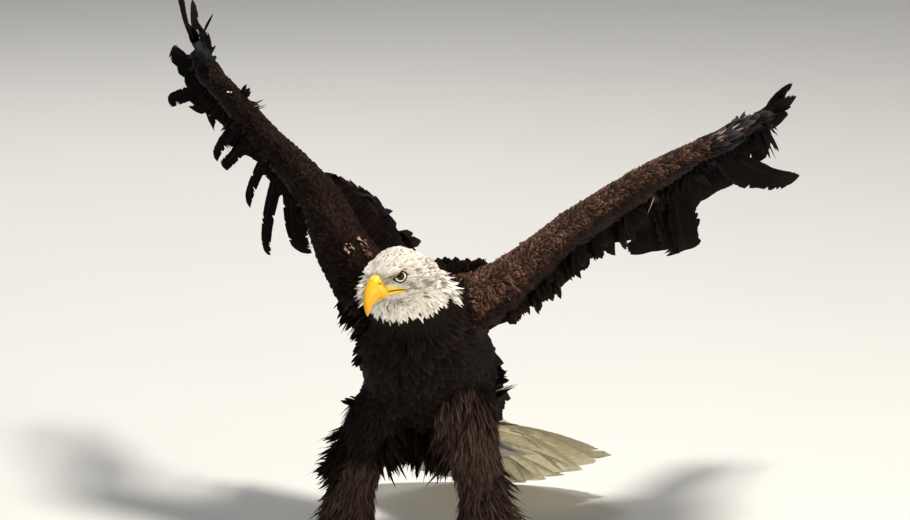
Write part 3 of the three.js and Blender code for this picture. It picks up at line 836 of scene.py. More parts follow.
def paintSkin():
    pigment, _ = coloursAt(skinSpots, skinKind, neckShare, skinPart, skinHindAndShadeBelow)
    foot = skinKind == 0
    pigment[foot] = tones["foot"]
    pigment = evened(pigment, skinEdges, 3)
    inside = np.maximum(*(eyeShare(skinHeads, side)[2] for side in (1, -1)))
    # painted shade in the crease along the line of the mouth
    groove = skinGape * smoothStep(1.2, 0.5, np.abs(mouthShare(skinHeads)[1]))
    for share, tone in (
        (skinLid, "lid"), (skinLid * smoothStep(-0.26, -0.19, inside), "lidEdge"),
        (skinGape, "gape"), (groove, "groove"),
    ):
        pigment = washed(pigment, share, tone)
    paint(skinPiece, "pigment", pigment)
    finish = Finish("bare_skin")
    cells = finish.put(
        "ShaderNodeTexVoronoi", {"feature": "DISTANCE_TO_EDGE"}, {"Vector": finish.spot(), "Scale": 900.0}
    )
    grain = finish.noise(700, 3)
    colour = finish.mix(1.0, finish.colour("pigment"), shadeOf(finish, grain * 0.5 + 0.75), "MULTIPLY")
    skinPiece.data.materials.clear()
    skinPiece.data.materials.append(
        finish.wear(
            BaseColor=colour,
            Roughness=0.55,
            Normal=finish.bump(cells.between(0.0, 0.12) + grain * 0.4, 0.00025, 0.5),
            SpecularIORLevel=0.15,
        )
    )


paintSkin()
print("skin painted")


unwrap = {"triangles": 12000, "angle": 1.15, "margin": 0.004, "edge": 0.002}  # of the skin, thinned


def unwrapSkin():
    piece = bpy.data.objects.new("pattern", skinPiece.data.copy())
    bpy.context.scene.collection.objects.link(piece)
    thin = piece.modifiers.new("thin", "DECIMATE")
    thin.ratio = unwrap["triangles"] / len(skinTriangles)
    mesh = bpy.data.meshes.new_from_object(piece.evaluated_get(bpy.context.evaluated_depsgraph_get()))
    piece.modifiers.clear()
    piece.data = mesh
    bpy.ops.object.select_all(action="DESELECT")
    piece.select_set(True)
    bpy.context.view_layer.objects.active = piece
    while mesh.uv_layers:
        mesh.uv_layers.remove(mesh.uv_layers[0])
    mesh.uv_layers.new(name="pattern")
    bpy.ops.object.mode_set(mode="EDIT")
    bpy.ops.mesh.select_all(action="SELECT")
    bpy.ops.uv.smart_project(
        angle_limit=unwrap["angle"], island_margin=unwrap["margin"], scale_to_bounds=True
    )
    bpy.ops.object.mode_set(mode="OBJECT")
    spots, faces = spotsOf(mesh), trianglesOf(mesh)
    corners = np.empty(len(mesh.loop_triangles) * 3, np.int32)
    mesh.loop_triangles.foreach_get("loops", corners)
    flat = np.empty(len(mesh.loops) * 2, np.float32)
    mesh.uv_layers[0].uv.foreach_get("vector", flat)
    flat = flat.reshape(-1, 2)[corners].reshape(-1, 3, 2)
    bpy.data.objects.remove(piece)
    return spots, faces, flat, BVHTree.FromPolygons(spots.tolist(), faces.tolist())


patternSpots, patternFaces, patternFlat, patternTree = unwrapSkin()


def placeOnUnwrap(spots):
    found = [patternTree.find_nearest(Vector(p)) for p in spots]
    face = np.array([hit[2] for hit in found])
    at = np.array([hit[0] for hit in found])
    a, b, c = (patternSpots[patternFaces[face, k]] for k in range(3))
    u, v, w = b - a, c - a, at - a
    uu, uv, vv, wu, wv = ((p * q).sum(1) for p, q in ((u, u), (u, v), (v, v), (w, u), (w, v)))
    under = np.maximum(uu * vv - uv * uv, 1e-20)
    s, t = (vv * wu - uv * wv) / under, (uu * wv - uv * wu) / under
    shares = np.clip(np.stack([1 - s - t, s, t], axis=1), 0, 1)
    shares /= shares.sum(1, keepdims=True)
    return np.clip((patternFlat[face] * shares[..., None]).sum(1), unwrap["edge"], 1 - unwrap["edge"])


print("unwrap ready")

faceNormals = unit(softNormals[skinTriangles].mean(1))
faceVectors = [Vector(n) for n in faceNormals]


def scatter(chosen, seed):
    # roots over the chosen triangles, none closer to another than the spacing there
    dice = np.random.default_rng(seed)
    those = np.flatnonzero(chosen)
    corners = skinTriangles[those]
    a, b, c = (skinSpots[corners[:, k]] for k in range(3))
    gaps = sizes[corners, 2].mean(1) / 1000
    area = np.linalg.norm(np.cross(b - a, c - a), axis=1) / 2
    many = dice.poisson(area / gaps**2 * 2.2)
    pick = np.repeat(np.arange(len(those)), many)
    s, t = dice.random(len(pick)), dice.random(len(pick))
    over = s + t > 1
    s[over], t[over] = 1 - s[over], 1 - t[over]
    spots = a[pick] + (b - a)[pick] * s[:, None] + (c - a)[pick] * t[:, None]
    gap = gaps[pick]
    tree = KDTree(len(spots))
    for i, p in enumerate(spots):
        tree.insert(p, i)
    tree.balance()
    free = np.ones(len(spots), bool)
    kept = []
    for i in dice.permutation(len(spots)):
        if free[i]:
            kept.append(i)
            free[[j for _, j, _ in tree.find_range(spots[i], gap[i])]] = False
    weights = np.stack([1 - s - t, s, t], axis=1)[kept]
    corner = corners[pick[kept]]

    def at(values):
        return (values[corner] * (weights if values.ndim == 1 else weights[..., None])).sum(1)

    nearest = corner[np.arange(len(kept)), weights.argmax(1)]
    return {
        "spots": spots[kept], "normals": unit(at(softNormals)), "flow": unit(at(flow)), "sizes": at(sizes),
        "nearest": nearest, "bare": at(skinBare),
    }


shapes = {  # stations along a feather and its half width there
    "round": ([0, 0.2, 0.42, 0.66, 0.86, 1], [0.35, 0.72, 0.95, 1, 0.72, 0.12]),
    "hackle": ([0, 0.2, 0.45, 0.7, 0.88, 1], [0.5, 0.9, 1, 0.75, 0.42, 0.05]),
    "short": ([0, 0.35, 0.72, 1], [0.6, 1, 0.8, 0.1]),
    "hair": ([0, 0.25, 0.5, 0.76, 1], [0.6, 1, 0.85, 0.5, 0.05]),
}


def stepOver(roots, ways, lengths, stations, hug):
    # the middle line of each feather, stepped over the skin, and the skin's own normal under it
    line = np.empty((len(lengths), len(stations), 3))
    over = np.empty_like(line)
    for i, (p, first, d) in enumerate(zip(roots["spots"], roots["normals"], ways)):
        p, first, d = Vector(p), Vector(first), Vector(d)
        n = first
        line[i, 0], over[i, 0] = p, n
        for k in range(1, len(stations)):
            q = p + d * (lengths[i] * (stations[k] - stations[k - 1]))
            hit = skinTree.find_nearest(q)
            m = faceVectors[hit[2]]
            if m.dot(first) > hug:
                p, n = hit[0], m
                d = (d - n * d.dot(n)).normalized()
            else:
                p = q
            line[i, k], over[i, k] = p, n
    return line, over


bakePatch = 0.003  # side of a feather's patch on the unwrap


def featherPiece(name, spots, faces, finish, pigment, edging, vane, places=None):
    spots[:, 2] = np.maximum(spots[:, 2], 0.0006)  # nothing dips into the floor
    piece = makePiece(name, spots, faces, finish)
    paint(piece, "pigment", pigment)
    paint(piece, "edging", edging)
    mapOnto(piece, "vane", vane)
    if places is not None:
        mapOnto(piece, "OFBake", places + (vane - 0.5) * bakePatch)
    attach(piece, "root")
    return piece


def growFeathers(name, roots, finish, shape, spec, colours, seed):
    dice = np.random.default_rng(seed)
    count = len(roots["spots"])
    stations, halfWidths = (np.array(values, float) for values in shapes[shape])
    rows = len(stations)
    long = roots["sizes"][:, 0] / 1000 * dice.normal(1, spec["uneven"], count).clip(0.6, 1.5)
    wide = roots["sizes"][:, 1] / 2000 * dice.normal(1, 0.1, count).clip(0.7, 1.3)
    normals, ways = roots["normals"], roots["flow"]
    swing = dice.normal(0, spec["swing"], count)
    if "clump" in spec:
        swing = swing + spec["clump"] * ripple(roots["spots"], spec["clumpSize"], seed)
    aside = np.cross(normals, ways)
    ways = unit(ways * np.cos(swing)[:, None] + aside * np.sin(swing)[:, None])
    line, over = stepOver(roots, ways, long, stations, spec.get("hug", 0.45))
    rise = spec["rise"] * dice.normal(1, 0.35, count).clip(0.2, 2.2)
    if "shag" in spec:
        shaggy = smoothStep(0.35, 1.0, ripple(roots["spots"], 0.035, seed + 1))
        rise = rise + spec["shag"] * shaggy * dice.random(count)
    height = spec["base"] / 1000 + long[:, None] * rise[:, None] * stations ** spec.get("curl", 1.0)
    middle = line + over * height[..., None]
    along = unit(np.gradient(middle, axis=1))
    side = unit(np.cross(over, along))
    roll = dice.normal(0, spec["roll"], count)[:, None, None]
    lift = unit(np.cross(along, side))
    side = side * np.cos(roll) + lift * np.sin(roll)
    rag, half = spec["rag"], wide[:, None] * halfWidths
    edges = []
    for sign in (-1, 1):
        w = half * (1 + rag * dice.normal(0, 1, (count, rows))).clip(0.3, 1.6)
        slip = (dice.normal(0, rag, (count, rows)) * long[:, None] / rows * (stations > 0.3))[..., None]
        out, down = side * (sign * w)[..., None], lift * (spec["cup"] * w)[..., None]
        edges.append(middle + out - down + along * slip)
    spots = np.stack([edges[0], middle, edges[1]], axis=2).reshape(-1, 3)
    faces = halves(sheets(rows, 3, count))
    tint = dice.normal(1, spec["tint"], (count, 1)).clip(0.55, 1.6)
    pigment, edging = (np.repeat(values * tint, rows * 3, axis=0) for values in colours)
    vane = np.tile(flatGrid(np.array([0, 0.5, 1]), stations), (count, 1))
    places = np.repeat(placeOnUnwrap(roots["spots"]), rows * 3, axis=0)
    print(name + ":", count, "feathers,", len(faces), "triangles")
    return featherPiece(name, spots, faces, finish, pigment, edging, vane, places)


def rootsOf(mask, seed):
    roots = scatter(mask[skinTriangles].mean(1) > 0.5, seed)
    tips = inHead(roots["spots"] + roots["flow"] * roots["sizes"][:, :1] / 1000)
    covered = np.maximum(*(eyeShare(tips, side)[2] for side in (1, -1))) > -0.36
    covered |= mouthShare(tips)[0] > 0.6
    keep = (roots["bare"] < 0.4) & ~(covered & (np.linalg.norm(tips, axis=1) < 60))
    return {key: value[keep] for key, value in roots.items()}


def coatColours(roots):
    kind, neck, part, dim = (values[roots["nearest"]] for values in (skinKind, neckShare, skinPart, skinHindAndShadeBelow))
    return coloursAt(roots["spots"], kind, neck, part, dim)


featherFinishes = {
    "head": vaneFinish("white_feather", 18, 1.3, 0.5, 0.5, 0.7, 0.38, relief=0.0001),
    "body": vaneFinish("body_feather", 56, 1.6, 0.75, 0.62, 0.66, 0.55, gloss=0.03),
    "wing": vaneFinish("wing_feather", 50, 1.6, 0.85, 0.58, 0.6, 0.5, gloss=0.03),
    "leg": vaneFinish("leg_feather", 40, 1.6, 0.7, 0.4, 0.68, 0.5),
}

# how each kind of small feather lies and how far it varies; base is its height over the skin in millimetres
headSpec = {
    "base": 0.3, "rise": 0.13, "swing": 0.12, "roll": 0.2, "cup": 0.35, "rag": 0.12, "tint": 0.06,
    "uneven": 0.15,
}
neckSpec = {
    "base": 0.6, "rise": 0.12, "swing": 0.13, "roll": 0.25, "cup": 0.3, "rag": 0.14, "tint": 0.05,
    "uneven": 0.18, "shag": 0.22, "curl": 1.4,
}
bodySpec = {
    "base": 1.0, "rise": 0.10, "swing": 0.14, "roll": 0.18, "cup": 0.22, "rag": 0.1, "tint": 0.2,
    "uneven": 0.12, "clump": 0.14, "clumpSize": 0.04, "shag": 0.12,
}
wingSpec = {
    "base": 0.6, "rise": 0.12, "swing": 0.2, "roll": 0.22, "cup": 0.25, "rag": 0.12, "tint": 0.34,
    "uneven": 0.2, "clump": 0.16, "clumpSize": 0.02, "shag": 0.10,
}
legSpec = {
    "base": 0.6, "rise": 0.11, "swing": 0.17, "roll": 0.4, "cup": 0.3, "rag": 0.15, "tint": 0.3,
    "uneven": 0.25, "clump": 0.3, "clumpSize": 0.022, "shag": 0.12, "curl": 1.3, "hug": 0.78,
}

onLeftWing, onLeftLeg = skinSpots[:, 0] > 0, skinSpots[:, 0] > -0.005
for name, mask, shape, finish, spec, slot, seed in (
    ("face", isHead, "short", "head", headSpec, "head_feathers", 21),
    ("neck", isNeck, "hackle", "head", neckSpec, "head_feathers", 22),
    ("trunk", skinKind == 2, "hackle", "body", bodySpec, "body_feathers", 23),
    ("wing_left", (skinKind == 3) & onLeftWing, "round", "wing", wingSpec, "wing_feathers", 24),
    ("wing_right", (skinKind == 3) & ~onLeftWing, "round", "wing", wingSpec, "wing_feathers", 25),
    ("leg_left", (skinKind == 4) & onLeftLeg, "hair", "leg", legSpec, "body_feathers", 26),
    ("leg_right", (skinKind == 4) & ~onLeftLeg, "hair", "leg", legSpec, "body_feathers", 27),
):
    roots = rootsOf(mask, seed)
    finish = featherFinishes[finish]
    piece = growFeathers("feathers_" + name, roots, finish, shape, spec, coatColours(roots), seed)
print("coat grown")

# loose tufts that stand away from the body: flanks, vent, hips and the marks on the wings

tuftSpec = {
    "base": 0.4, "rise": 0.06, "swing": 0.22, "roll": 0.5, "cup": 0.2, "rag": 0.2, "tint": 0.25,
    "uneven": 0.3, "hug": 2,
}
tufts = [  # place in millimetres, reach of the roots, how many, the way they point, length and width, colours
    ((-134, -12, 172), 40, 80, (-0.56, 0.15, -0.80), (36, 6), "trunk"),
    ((-138, 6, 142), 30, 40, (-0.76, 0.20, -0.60), (28, 6), "trunk"),
    ((-111, -23, 232), 12, 8, (-0.85, 0.1, 0.1), (18, 5), "trunk"),
    ((-92, -100, 374), 34, 60, (-0.5, -0.2, -0.84), (17, 9), "trunk"),
    ((-92, -93, 330), 24, 24, (-0.3, -0.1, -0.94), (16, 8), "trunk"),
    ((-54, -208, 440), 20, 60, (-0.72, 0.15, -0.60), (14, 6.2), "white"),
    ((-60, -190, 425), 16, 50, (-0.55, 0.0, -0.80), (16, 6.2), "white"),
    ((36, -168, 442), 20, 80, (0.78, 0.35, -0.46), (17, 6.6), "white"),
    ((40, -140, 424), 20, 70, (0.55, 0.0, -0.82), (18, 6.6), "white"),
    ((8, -66, 408), 15, 60, (-0.1, 0.5, 0.86), (17, 14), "mantle"),
    ((24, -60, 420), 15, 90, (-0.1, 0.45, 0.88), (17, 14), "mantle"),
    ((44, -64, 428), 15, 90, (0.0, 0.5, 0.86), (13, 13), "mantle"),
    ((66, -72, 435), 15, 90, (0.1, 0.5, 0.86), (10, 11), "mantle"),
    ((74, 43, 262), 13, 20, (0.85, -0.1, 0.0), (14, 10), "trunk"),
    ((70, 44, 226), 10, 14, (0.62, -0.1, 0.75), (27, 7), "leg"),
    ((72, 44, 230), 5, 4, (0.66, -0.1, 0.74), (31, 5), "white"),
    ((44, -36, 236), 12, 10, (0.15, -0.5, 0.85), (22, 6), "leg"),
    ((-58, -8, 178), 42, 90, (0.20, 0.05, -0.95), (36, 8), "trunk"),
    ((-34, 40, 168), 50, 150, (0.0, -0.15, -0.97), (38, 9), "trunk"),
    ((18, 20, 176), 40, 120, (-0.22, -0.1, -0.95), (38, 5), "legDark"),
    ((52, -66, 232), 40, 420, (0.04, -0.1, -0.97), (26, 3.4), "leg"),
    ((40, -60, 205), 36, 260, (0.0, -0.1, -0.97), (28, 3.4), "leg"),
    ((88, 14, 100), 36, 130, (0.52, -0.1, -0.84), (29, 3.4), "leg"),
    ((92, 16, 70), 26, 100, (0.64, -0.05, -0.74), (27, 3.2), "leg"),
    ((-153, 9, 84), 30, 70, (-0.36, -0.1, -0.92), (25, 3.2), "leg"),
    ((103, -92, 451), 9, 12, (0.25, -0.5, 0.55), (9, 3), "worn"),
    ((111, -110, 427), 15, 30, (0.75, -0.1, -0.45), (14, 4.4), "rust"),
    ((84, -110, 408), 13, 26, (0.45, -0.1, -0.75), (14, 4.4), "rust"),
    ((128, -54, 392), 24, 30, (0.0, 0.4, -0.92), (18, 15), "mantle"),
    ((158, -38, 419), 26, 40, (0.0, 0.4, -0.92), (25, 17), "mantle"),
    ((190, -30, 452), 28, 46, (0.0, 0.4, -0.92), (29, 18), "mantle"),
    ((222, 20, 475), 30, 46, (0.0, 0.4, -0.92), (31, 18), "mantle"),
    ((262, 34, 505), 30, 40, (0.0, 0.4, -0.92), (36, 18), "mantle"),
    ((-95, -82, 478), 8, 16, (0.4, -0.5, -0.6), (10, 3.6), "worn"),
    ((-86, -85, 464), 10, 26, (0.3, -0.6, -0.6), (11, 3.6), "rust"),
    ((-86, -85, 464), 7, 12, (0.3, -0.6, -0.6), (10, 3.2), "worn"),
    ((-108, -97, 468), 7, 12, (0.1, -0.7, -0.5), (9, 3), "worn"),
    ((397, -24, 626), 9, 6, (0.9, 0.1, 0.25), (15, 3.0), "worn"),
    ((450, 62, 632), 14, 14, (0.2, 0.5, -0.85), (42, 9), "hand"),
    ((414, -8, 632), 6, 3, (0.9, 0.3, 0.25), (14, 3), "worn"),
    ((-302, 32, 657), 4, 3, (-0.3, -0.4, 0.2), (6, 3.4), "white"),
    ((-268, 40, 640), 8, 8, (0.80, -0.2, 0.10), (15, 3), "worn"),
    ((-286, 44, 652), 7, 8, (0.62, 0.0, 0.66), (12, 6), "wing"),
    ((-297, 58, 612), 8, 9, (-0.8, -0.2, -0.5), (17, 9), "wing"),
    ((-300, 66, 606), 14, 14, (-0.30, 0.1, -0.95), (40, 5), "hand"),
    ((-262, 40, 566), 60, 150, (-0.24, 0.1, -0.96), (15, 6), "trunk"),
    ((-176, -10, 488), 50, 90, (-0.4, 0.0, -0.9), (13, 6), "trunk"),
    ((316, 4, 548), 6, 5, (-0.45, -0.2, -0.86), (26, 5), "worn"),
    ((312, 4, 552), 12, 12, (-0.05, -0.4, -0.9), (16, 9), "wing"),
]


def growTufts():
    perTone = {}
    dice = np.random.default_rng(61)
    for at, reach, many, way, size, tone in tufts:
        away = np.linalg.norm(skinDrawn - at, axis=1)
        near = np.flatnonzero((away < max(reach, away.min() + 3)) & (skinBare < 0.4))
        picked = dice.choice(near, many, replace=len(near) < many)
        ways = unit(unit(way) + 0.35 * softNormals[picked] + dice.normal(0, 0.12, (many, 3)))
        group = (skinSpots[picked], softNormals[picked], ways, np.tile(size, (many, 1)))
        perTone.setdefault(tone, []).append(group)
    for i, (tone, groups) in enumerate(perTone.items()):
        spots, normals, ways, size = (np.vstack(values) for values in zip(*groups))
        roots = {"spots": spots - normals * 0.001, "normals": normals, "flow": ways, "sizes": size}
        colours = tuple(np.tile(tones[key], (len(spots), 1)) for key in (tone, tone + "Edge"))
        fine = tone in ("leg", "worn", "rust", "white", "legDark")
        shape = "hair" if fine else "round" if tone == "mantle" else "hackle"
        finish = featherFinishes["head" if tone == "white" else "leg" if fine else "body"]
        piece = growFeathers("tufts_" + tone, roots, finish, shape, tuftSpec, colours, 62 + i)


growTufts()
print("tufts grown")


def featherOf(root, tip, aside, face, tone, **spec):  # a large feather, from millimetres and a tone
    colours = {"pigment": tones[tone], "edging": tones[tone + "Edge"]}
    return {"root": place(root), "tip": place(tip), "aside": aside, "face": face, **colours, **spec}


vaneSpec = {  # across a large feather, as shares of its half width
    "columns": (-1, -0.62, -0.25, 0, 0.25, 0.62, 1), "camber": 0.16, "lean": 0.35,
}


def quill(spec, dice):
    # one large feather: a cambered vane with a notched edge on each side of its shaft
    rows, columns = spec.get("rows", 50), np.array(vaneSpec["columns"])
    root, aside = spec["root"], spec["aside"]
    along = spec["tip"] - root
    long = np.linalg.norm(along)
    t = 1 - (1 - np.linspace(0, 1, rows)) ** 1.25
    aside = unit(aside - along * (aside @ along) / long**2)
    face = unit(np.cross(aside, along) * np.sign(np.cross(aside, along) @ spec["face"]))
    roll = spec.get("roll", 0.1) + dice.normal(0, 0.03)
    across = aside * math.cos(roll) - face * math.sin(roll)
    over = face * math.cos(roll) + aside * math.sin(roll)
    sweep = spec.get("sweep", 0.0) + dice.normal(0, 0.003)
    arch = (4 * t * (1 - t))[:, None]
    line = root + along * t[:, None] + (face * spec["bow"] + aside * sweep) * arch
    end = spec["blunt"]
    past = np.clip(t - 1 + end, 0, 1) / end
    half = smoothStep(-0.05, 0.14, t) * np.sqrt(np.clip(1 - past**2, 0.0015, 1))
    notch, slim = spec.get("slim", (1, 1))
    half *= spec["width"] * (1 - (1 - slim) * smoothStep(notch - 0.09, notch + 0.09, t))
    spots = np.empty((rows, len(columns), 3))
    for sign, share in ((-1, spec["lead"]), (1, 1 - spec["lead"])):
        edge = share * half * (1 + dice.normal(0, 0.012, rows))
        for at in dice.integers(int(rows * 0.3), rows - 3, spec.get("slits", 3)):
            edge[at] *= dice.uniform(0.55, 0.9)
        edge *= 1 - spec.get("wear", 0.05) * dice.random(rows) * smoothStep(0.6, 1, t)
        for k, c in enumerate(columns):
            if c * sign > 0 or (c == 0 and sign == 1):
                w = abs(c) * edge
                lean = vaneSpec["lean"] * w * smoothStep(0, 0.2, t) * (0.3 + 0.7 * abs(c))
                lean = np.minimum(lean, (1 - t) * long) / 2  # the barbs slant to the tip
                droop = vaneSpec["camber"] * w * abs(c)
                aside = across * (sign * w)[:, None] + unit(along) * lean[:, None]
                spots[:, k] = line + aside - over * droop[:, None]
    thin = slice(None, -1, 2)
    shaft, shaftFaces = tube(line[thin], spec.get("shaft", 0.0019) * (1 - 0.82 * t[thin]), 5, over=face)
    centre = np.stack([np.full(len(shaft), 0.5), np.append(np.repeat(t[thin], 5), (0, 1))], axis=1)
    spots, faces = gathered([(spots.reshape(-1, 3), halves(sheets(rows, len(columns)))), (shaft, shaftFaces)])
    return spots, faces, np.vstack([flatGrid((columns + 1) / 2, t), centre])


def quillPiece(name, feathers, finish, seed, coatMap=True):
    dice = np.random.default_rng(seed)
    parts, vanes, colours, roots = [], [], [], []
    for feather in feathers:
        spots, faces, vane = quill(feather, dice)
        parts.append((spots, faces))
        vanes.append(vane)
        paint = np.append(feather["pigment"], feather["edging"]) * dice.normal(1, 0.10)
        colours.append(np.tile(paint, (len(spots), 1)))
        roots.append(np.repeat(placeOnUnwrap([feather["root"]]), len(spots), axis=0))
    spots, faces = gathered(parts)
    colours = np.vstack(colours)
    print(name + ":", len(feathers), "feathers,", len(faces), "triangles")
    places = np.vstack(roots) if coatMap else None
    return featherPiece(name, spots, faces, finish, colours[:, :3], colours[:, 3:], np.vstack(vanes), places)


quillFinish = vaneFinish(
    "flight_feather", 190, 1.6, 0.5, 0.75, 0.7, 0.15, shaft=0.07, relief=0.0001, gloss=0.0
)
covertFinish = vaneFinish("covert_feather", 90, 1.4, 0.8, 0.7, 0.68, 0.4, shaft=0.06, gloss=0.0)
tailFinish = vaneFinish("tail_feather", 130, 1.5, 0.5, 0.8, 0.6, 0.1, shaft=0.06)

primaries = 10  # the flight feathers of the hand, counted from the outermost; the others stand on the arm
flightSpec = {"overlap": 22, "beyond": 7, "outer": 0.86}
primarySpec = {
    "width": 0.048, "lead": 0.3, "blunt": 0.16, "bow": 0.012, "roll": -0.12, "slits": 4, "wear": 0.12,
}
secondarySpec = {**primarySpec, "width": 0.060, "lead": 0.42, "blunt": 0.08}


def flightLines(wing):  # root, tip, side and upper face of every flight feather, in millimetres
    share = 0.99 - np.arange(primaries) / primaries
    roots = pathAt(wing["hand"], share) + unit(wing["palm"]) * np.interp(share, *handReach)[:, None]
    share = np.linspace(*wing["secondaryRoots"], len(wing["secondaries"]))
    roots = np.vstack([
        roots, pathAt(wing["edge"], share) + backAt(wing, share) * np.interp(share, *armReach)[:, None],
    ])
    tips = np.array(wing["primaries"] + wing["secondaries"], float)
    order = np.arange(len(tips))
    before, after = np.maximum(order - 1, 0), np.minimum(order + 1, len(tips) - 1)
    across = roots[after] - roots[before] + tips[after] - tips[before]
    return roots, tips, unit(across), unit(np.cross(tips - roots, across))


def growFlight(which, lines):
    wing, feathers = wings[which], []
    for i, (root, tip, aside, face) in enumerate(zip(*lines)):
        way = unit(tip - root)
        spec = dict(primarySpec if i < primaries else secondarySpec)
        spec["width"] *= flightSpec["outer"] if i < 3 else 1
        feathers.append(featherOf(
            root - way * flightSpec["overlap"], tip + way * flightSpec["beyond"], aside, face, "quill",
            sweep=wing["sweeps"].get(i, 0), slim=wing["slims"].get(i, (1, 1)), **spec,
        ))
    piece = quillPiece("flight_feathers_" + which, feathers, quillFinish, 31 + wing["side"], coatMap=False)
    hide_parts(f"wing_{which}_flight")


smallQuill = {"rows": 16, "slits": 1, "shaft": 0.0009}
covertSpec = {
    "count": 26, "from": 0.24, "to": 0.97, "start": 0.7, "long": 62, "dim": {1: 1.2, -1: 0.8},
    "thick": {
        "left": ([0, 0.25, 0.5, 0.75, 1], [122, 80, 58, 48, 40]),
        "right": ([0, 0.3, 0.5, 0.75, 1], [132, 86, 62, 46, 42]),
    },
    "look": {**smallQuill, "width": 0.032, "bow": 0.006, "lead": 0.45, "blunt": 0.2, "wear": 0.08},
}
handSpec = {
    "count": 14, "from": 0.05, "to": 0.97, "long": 120, "rise": ([0, 0.7, 1], [12, 8, 3]),
    "look": {**smallQuill, "width": 0.022, "bow": 0.004, "lead": 0.35, "blunt": 0.25},
}
thumbSpec = {
    "long": (112, 92, 70),
    "look": {"rows": 16, "shaft": 0.0009, "width": 0.02, "bow": 0.004, "lead": 0.3, "blunt": 0.3},
}


def overAt(wing, share):  # up through the wing
    return unit(np.cross(tangentAt(wing["edge"], share), backAt(wing, share)) * wing["side"])


def growCoverts(which, lines):
    wing, feathers = wings[which], []
    roots, tips, across, _ = lines
    ways, palm = unit(tips - roots), unit(wing["palm"])
    start, end = wing["secondaryRoots"]

    def lieAt(where):  # the way and the side of a feather between two flight feathers
        order = np.arange(len(ways))
        pairs = (ways, across)
        return (np.array([np.interp(where, order, column) for column in values.T]) for values in pairs)

    for sign in (1, -1):
        for j in range(covertSpec["count"] if sign < 0 else wing["upperCoverts"]):
            share = covertSpec["to"] + (covertSpec["from"] - covertSpec["to"]) * j / (covertSpec["count"] - 1)
            along = np.clip((share - start) / (end - start), 0, 1) * (len(wing["secondaries"]) - 1)
            way, aside = lieAt(along + primaries)
            edge, back = pathAt(wing["edge"], share)[0], backAt(wing, share)[0] * np.interp(share, *armReach)
            aft = covertSpec["start"]
            thick = np.interp(share, *covertSpec["thick"][which]) * (1.2 * (1 - aft) ** 0.75 + 0.07) / 2
            over = overAt(wing, share)[0] * sign
            tip = edge + back + over * 4.5 + way * covertSpec["long"] * (0.8 + 0.35 * (1 - share))
            feathers.append(featherOf(
                edge + back * aft + over * (thick * 0.6), tip, aside, over, "quill", roll=-0.16 * sign,
                **covertSpec["look"],
            ))
            feathers[-1]["edging"] = np.array(tones["quillEdge"]) * covertSpec["dim"][sign]
        for j in range(handSpec["count"]):
            share = handSpec["to"] + (handSpec["from"] - handSpec["to"]) * j / (handSpec["count"] - 1)
            way, aside = lieAt((0.99 - share) * primaries)
            over = unit(np.cross(tangentAt(wing["hand"], share)[0], palm)) * wing["side"] * sign
            root = pathAt(wing["hand"], share)[0] + palm * np.interp(share, *handReach) * 0.35
            root = root + over * np.interp(share, *handSpec["rise"])
            tip = root + unit(way + over * 0.02) * (handSpec["long"] + 25 * share)
            feathers.append(featherOf(root, tip, aside, over, "hand", roll=-0.16 * sign, **handSpec["look"]))
    out = unit(tangentAt(wing["hand"], 0.25)[0] + 0.4 * palm)
    over = unit(np.cross(out, palm)) * wing["side"]
    for i, long in enumerate(thumbSpec["long"]):
        root = pathAt(wing["hand"], 0.03)[0] + over * (9 + 3 * i) + palm * 4
        feathers.append(featherOf(root, root + out * long, palm, over, "hand", **thumbSpec["look"]))
    quillPiece("coverts_" + which, feathers, covertFinish, 41 + wing["side"])


scapulars = {
    "left": {
        "path": [(196, -34, 484), (140, 14, 448), (84, 60, 400), (30, 96, 332)],
        "beyond": (16, 24, 24, 24),
    },
    "right": {
        "path": [(-178, -8, 540), (-142, 44, 516), (-108, 78, 482), (-80, 76, 436), (-34, 70, 372)],
        "beyond": (6, 30, 38, 12, 18),
    },
    "look": {
        "rows": 18, "width": 0.034, "bow": 0.011, "lead": 0.46, "roll": 0.1, "blunt": 0.22, "slits": 1,
        "wear": 0.08, "shaft": 0.0008,
    },
}


def growScapulars(which):  # the feathers that run from the arm over the shoulder, down towards the back
    wing, spec, feathers = wings[which], scapulars[which], []
    for row, (lift, start) in enumerate(((9, 0.55), (13, 0.85))):
        shares = np.linspace(0.02, 0.97, 15 - row)
        beyond = np.interp(shares, np.linspace(0, 1, len(spec["beyond"])), spec["beyond"])
        arm = 0.46 * (1 - shares) + 0.02
        origins = pathAt(wing["edge"], arm) + backAt(wing, arm) * 26
        goals, outs = pathAt(spec["path"], shares), tangentAt(spec["path"], shares)
        for goal, out, origin, extra in zip(goals, outs, origins, beyond):
            way = unit(goal - origin)
            over = unit(np.cross(way, out))
            over = over * np.sign(over[2])
            root = origin * start + goal * (1 - start) + over * lift
            tip = goal + way * extra + over * 5
            feathers.append(featherOf(root, tip, out, over, "mantle", **scapulars["look"]))
    quillPiece("scapulars_" + which, feathers, covertFinish, 71 + wing["side"])


for which, wing in wings.items():
    flight = flightLines(wing)
    growFlight(which, flight)
    growCoverts(which, flight)
    growScapulars(which)

tail = {
    "base": (-4, 224, 146), "length": 290, "fan": 33, "rootSpread": 34, "feathers": 12, "up": (0, 0.42, 0.9),
    "coverts": ((0, 128, 13, 7), (34, 112, 11, 13), (66, 92, 9, 17)),  # each row's place, length, number, height
    "look": {"width": 0.076, "bow": 0.007, "blunt": 0.055, "slits": 1, "wear": 0.07, "shaft": 0.0021},
    "covertLook": {
        "rows": 18, "width": 0.036, "bow": 0.008, "lead": 0.5, "blunt": 0.2, "slits": 2, "wear": 0.1,
        "shaft": 0.0008,
    },
}


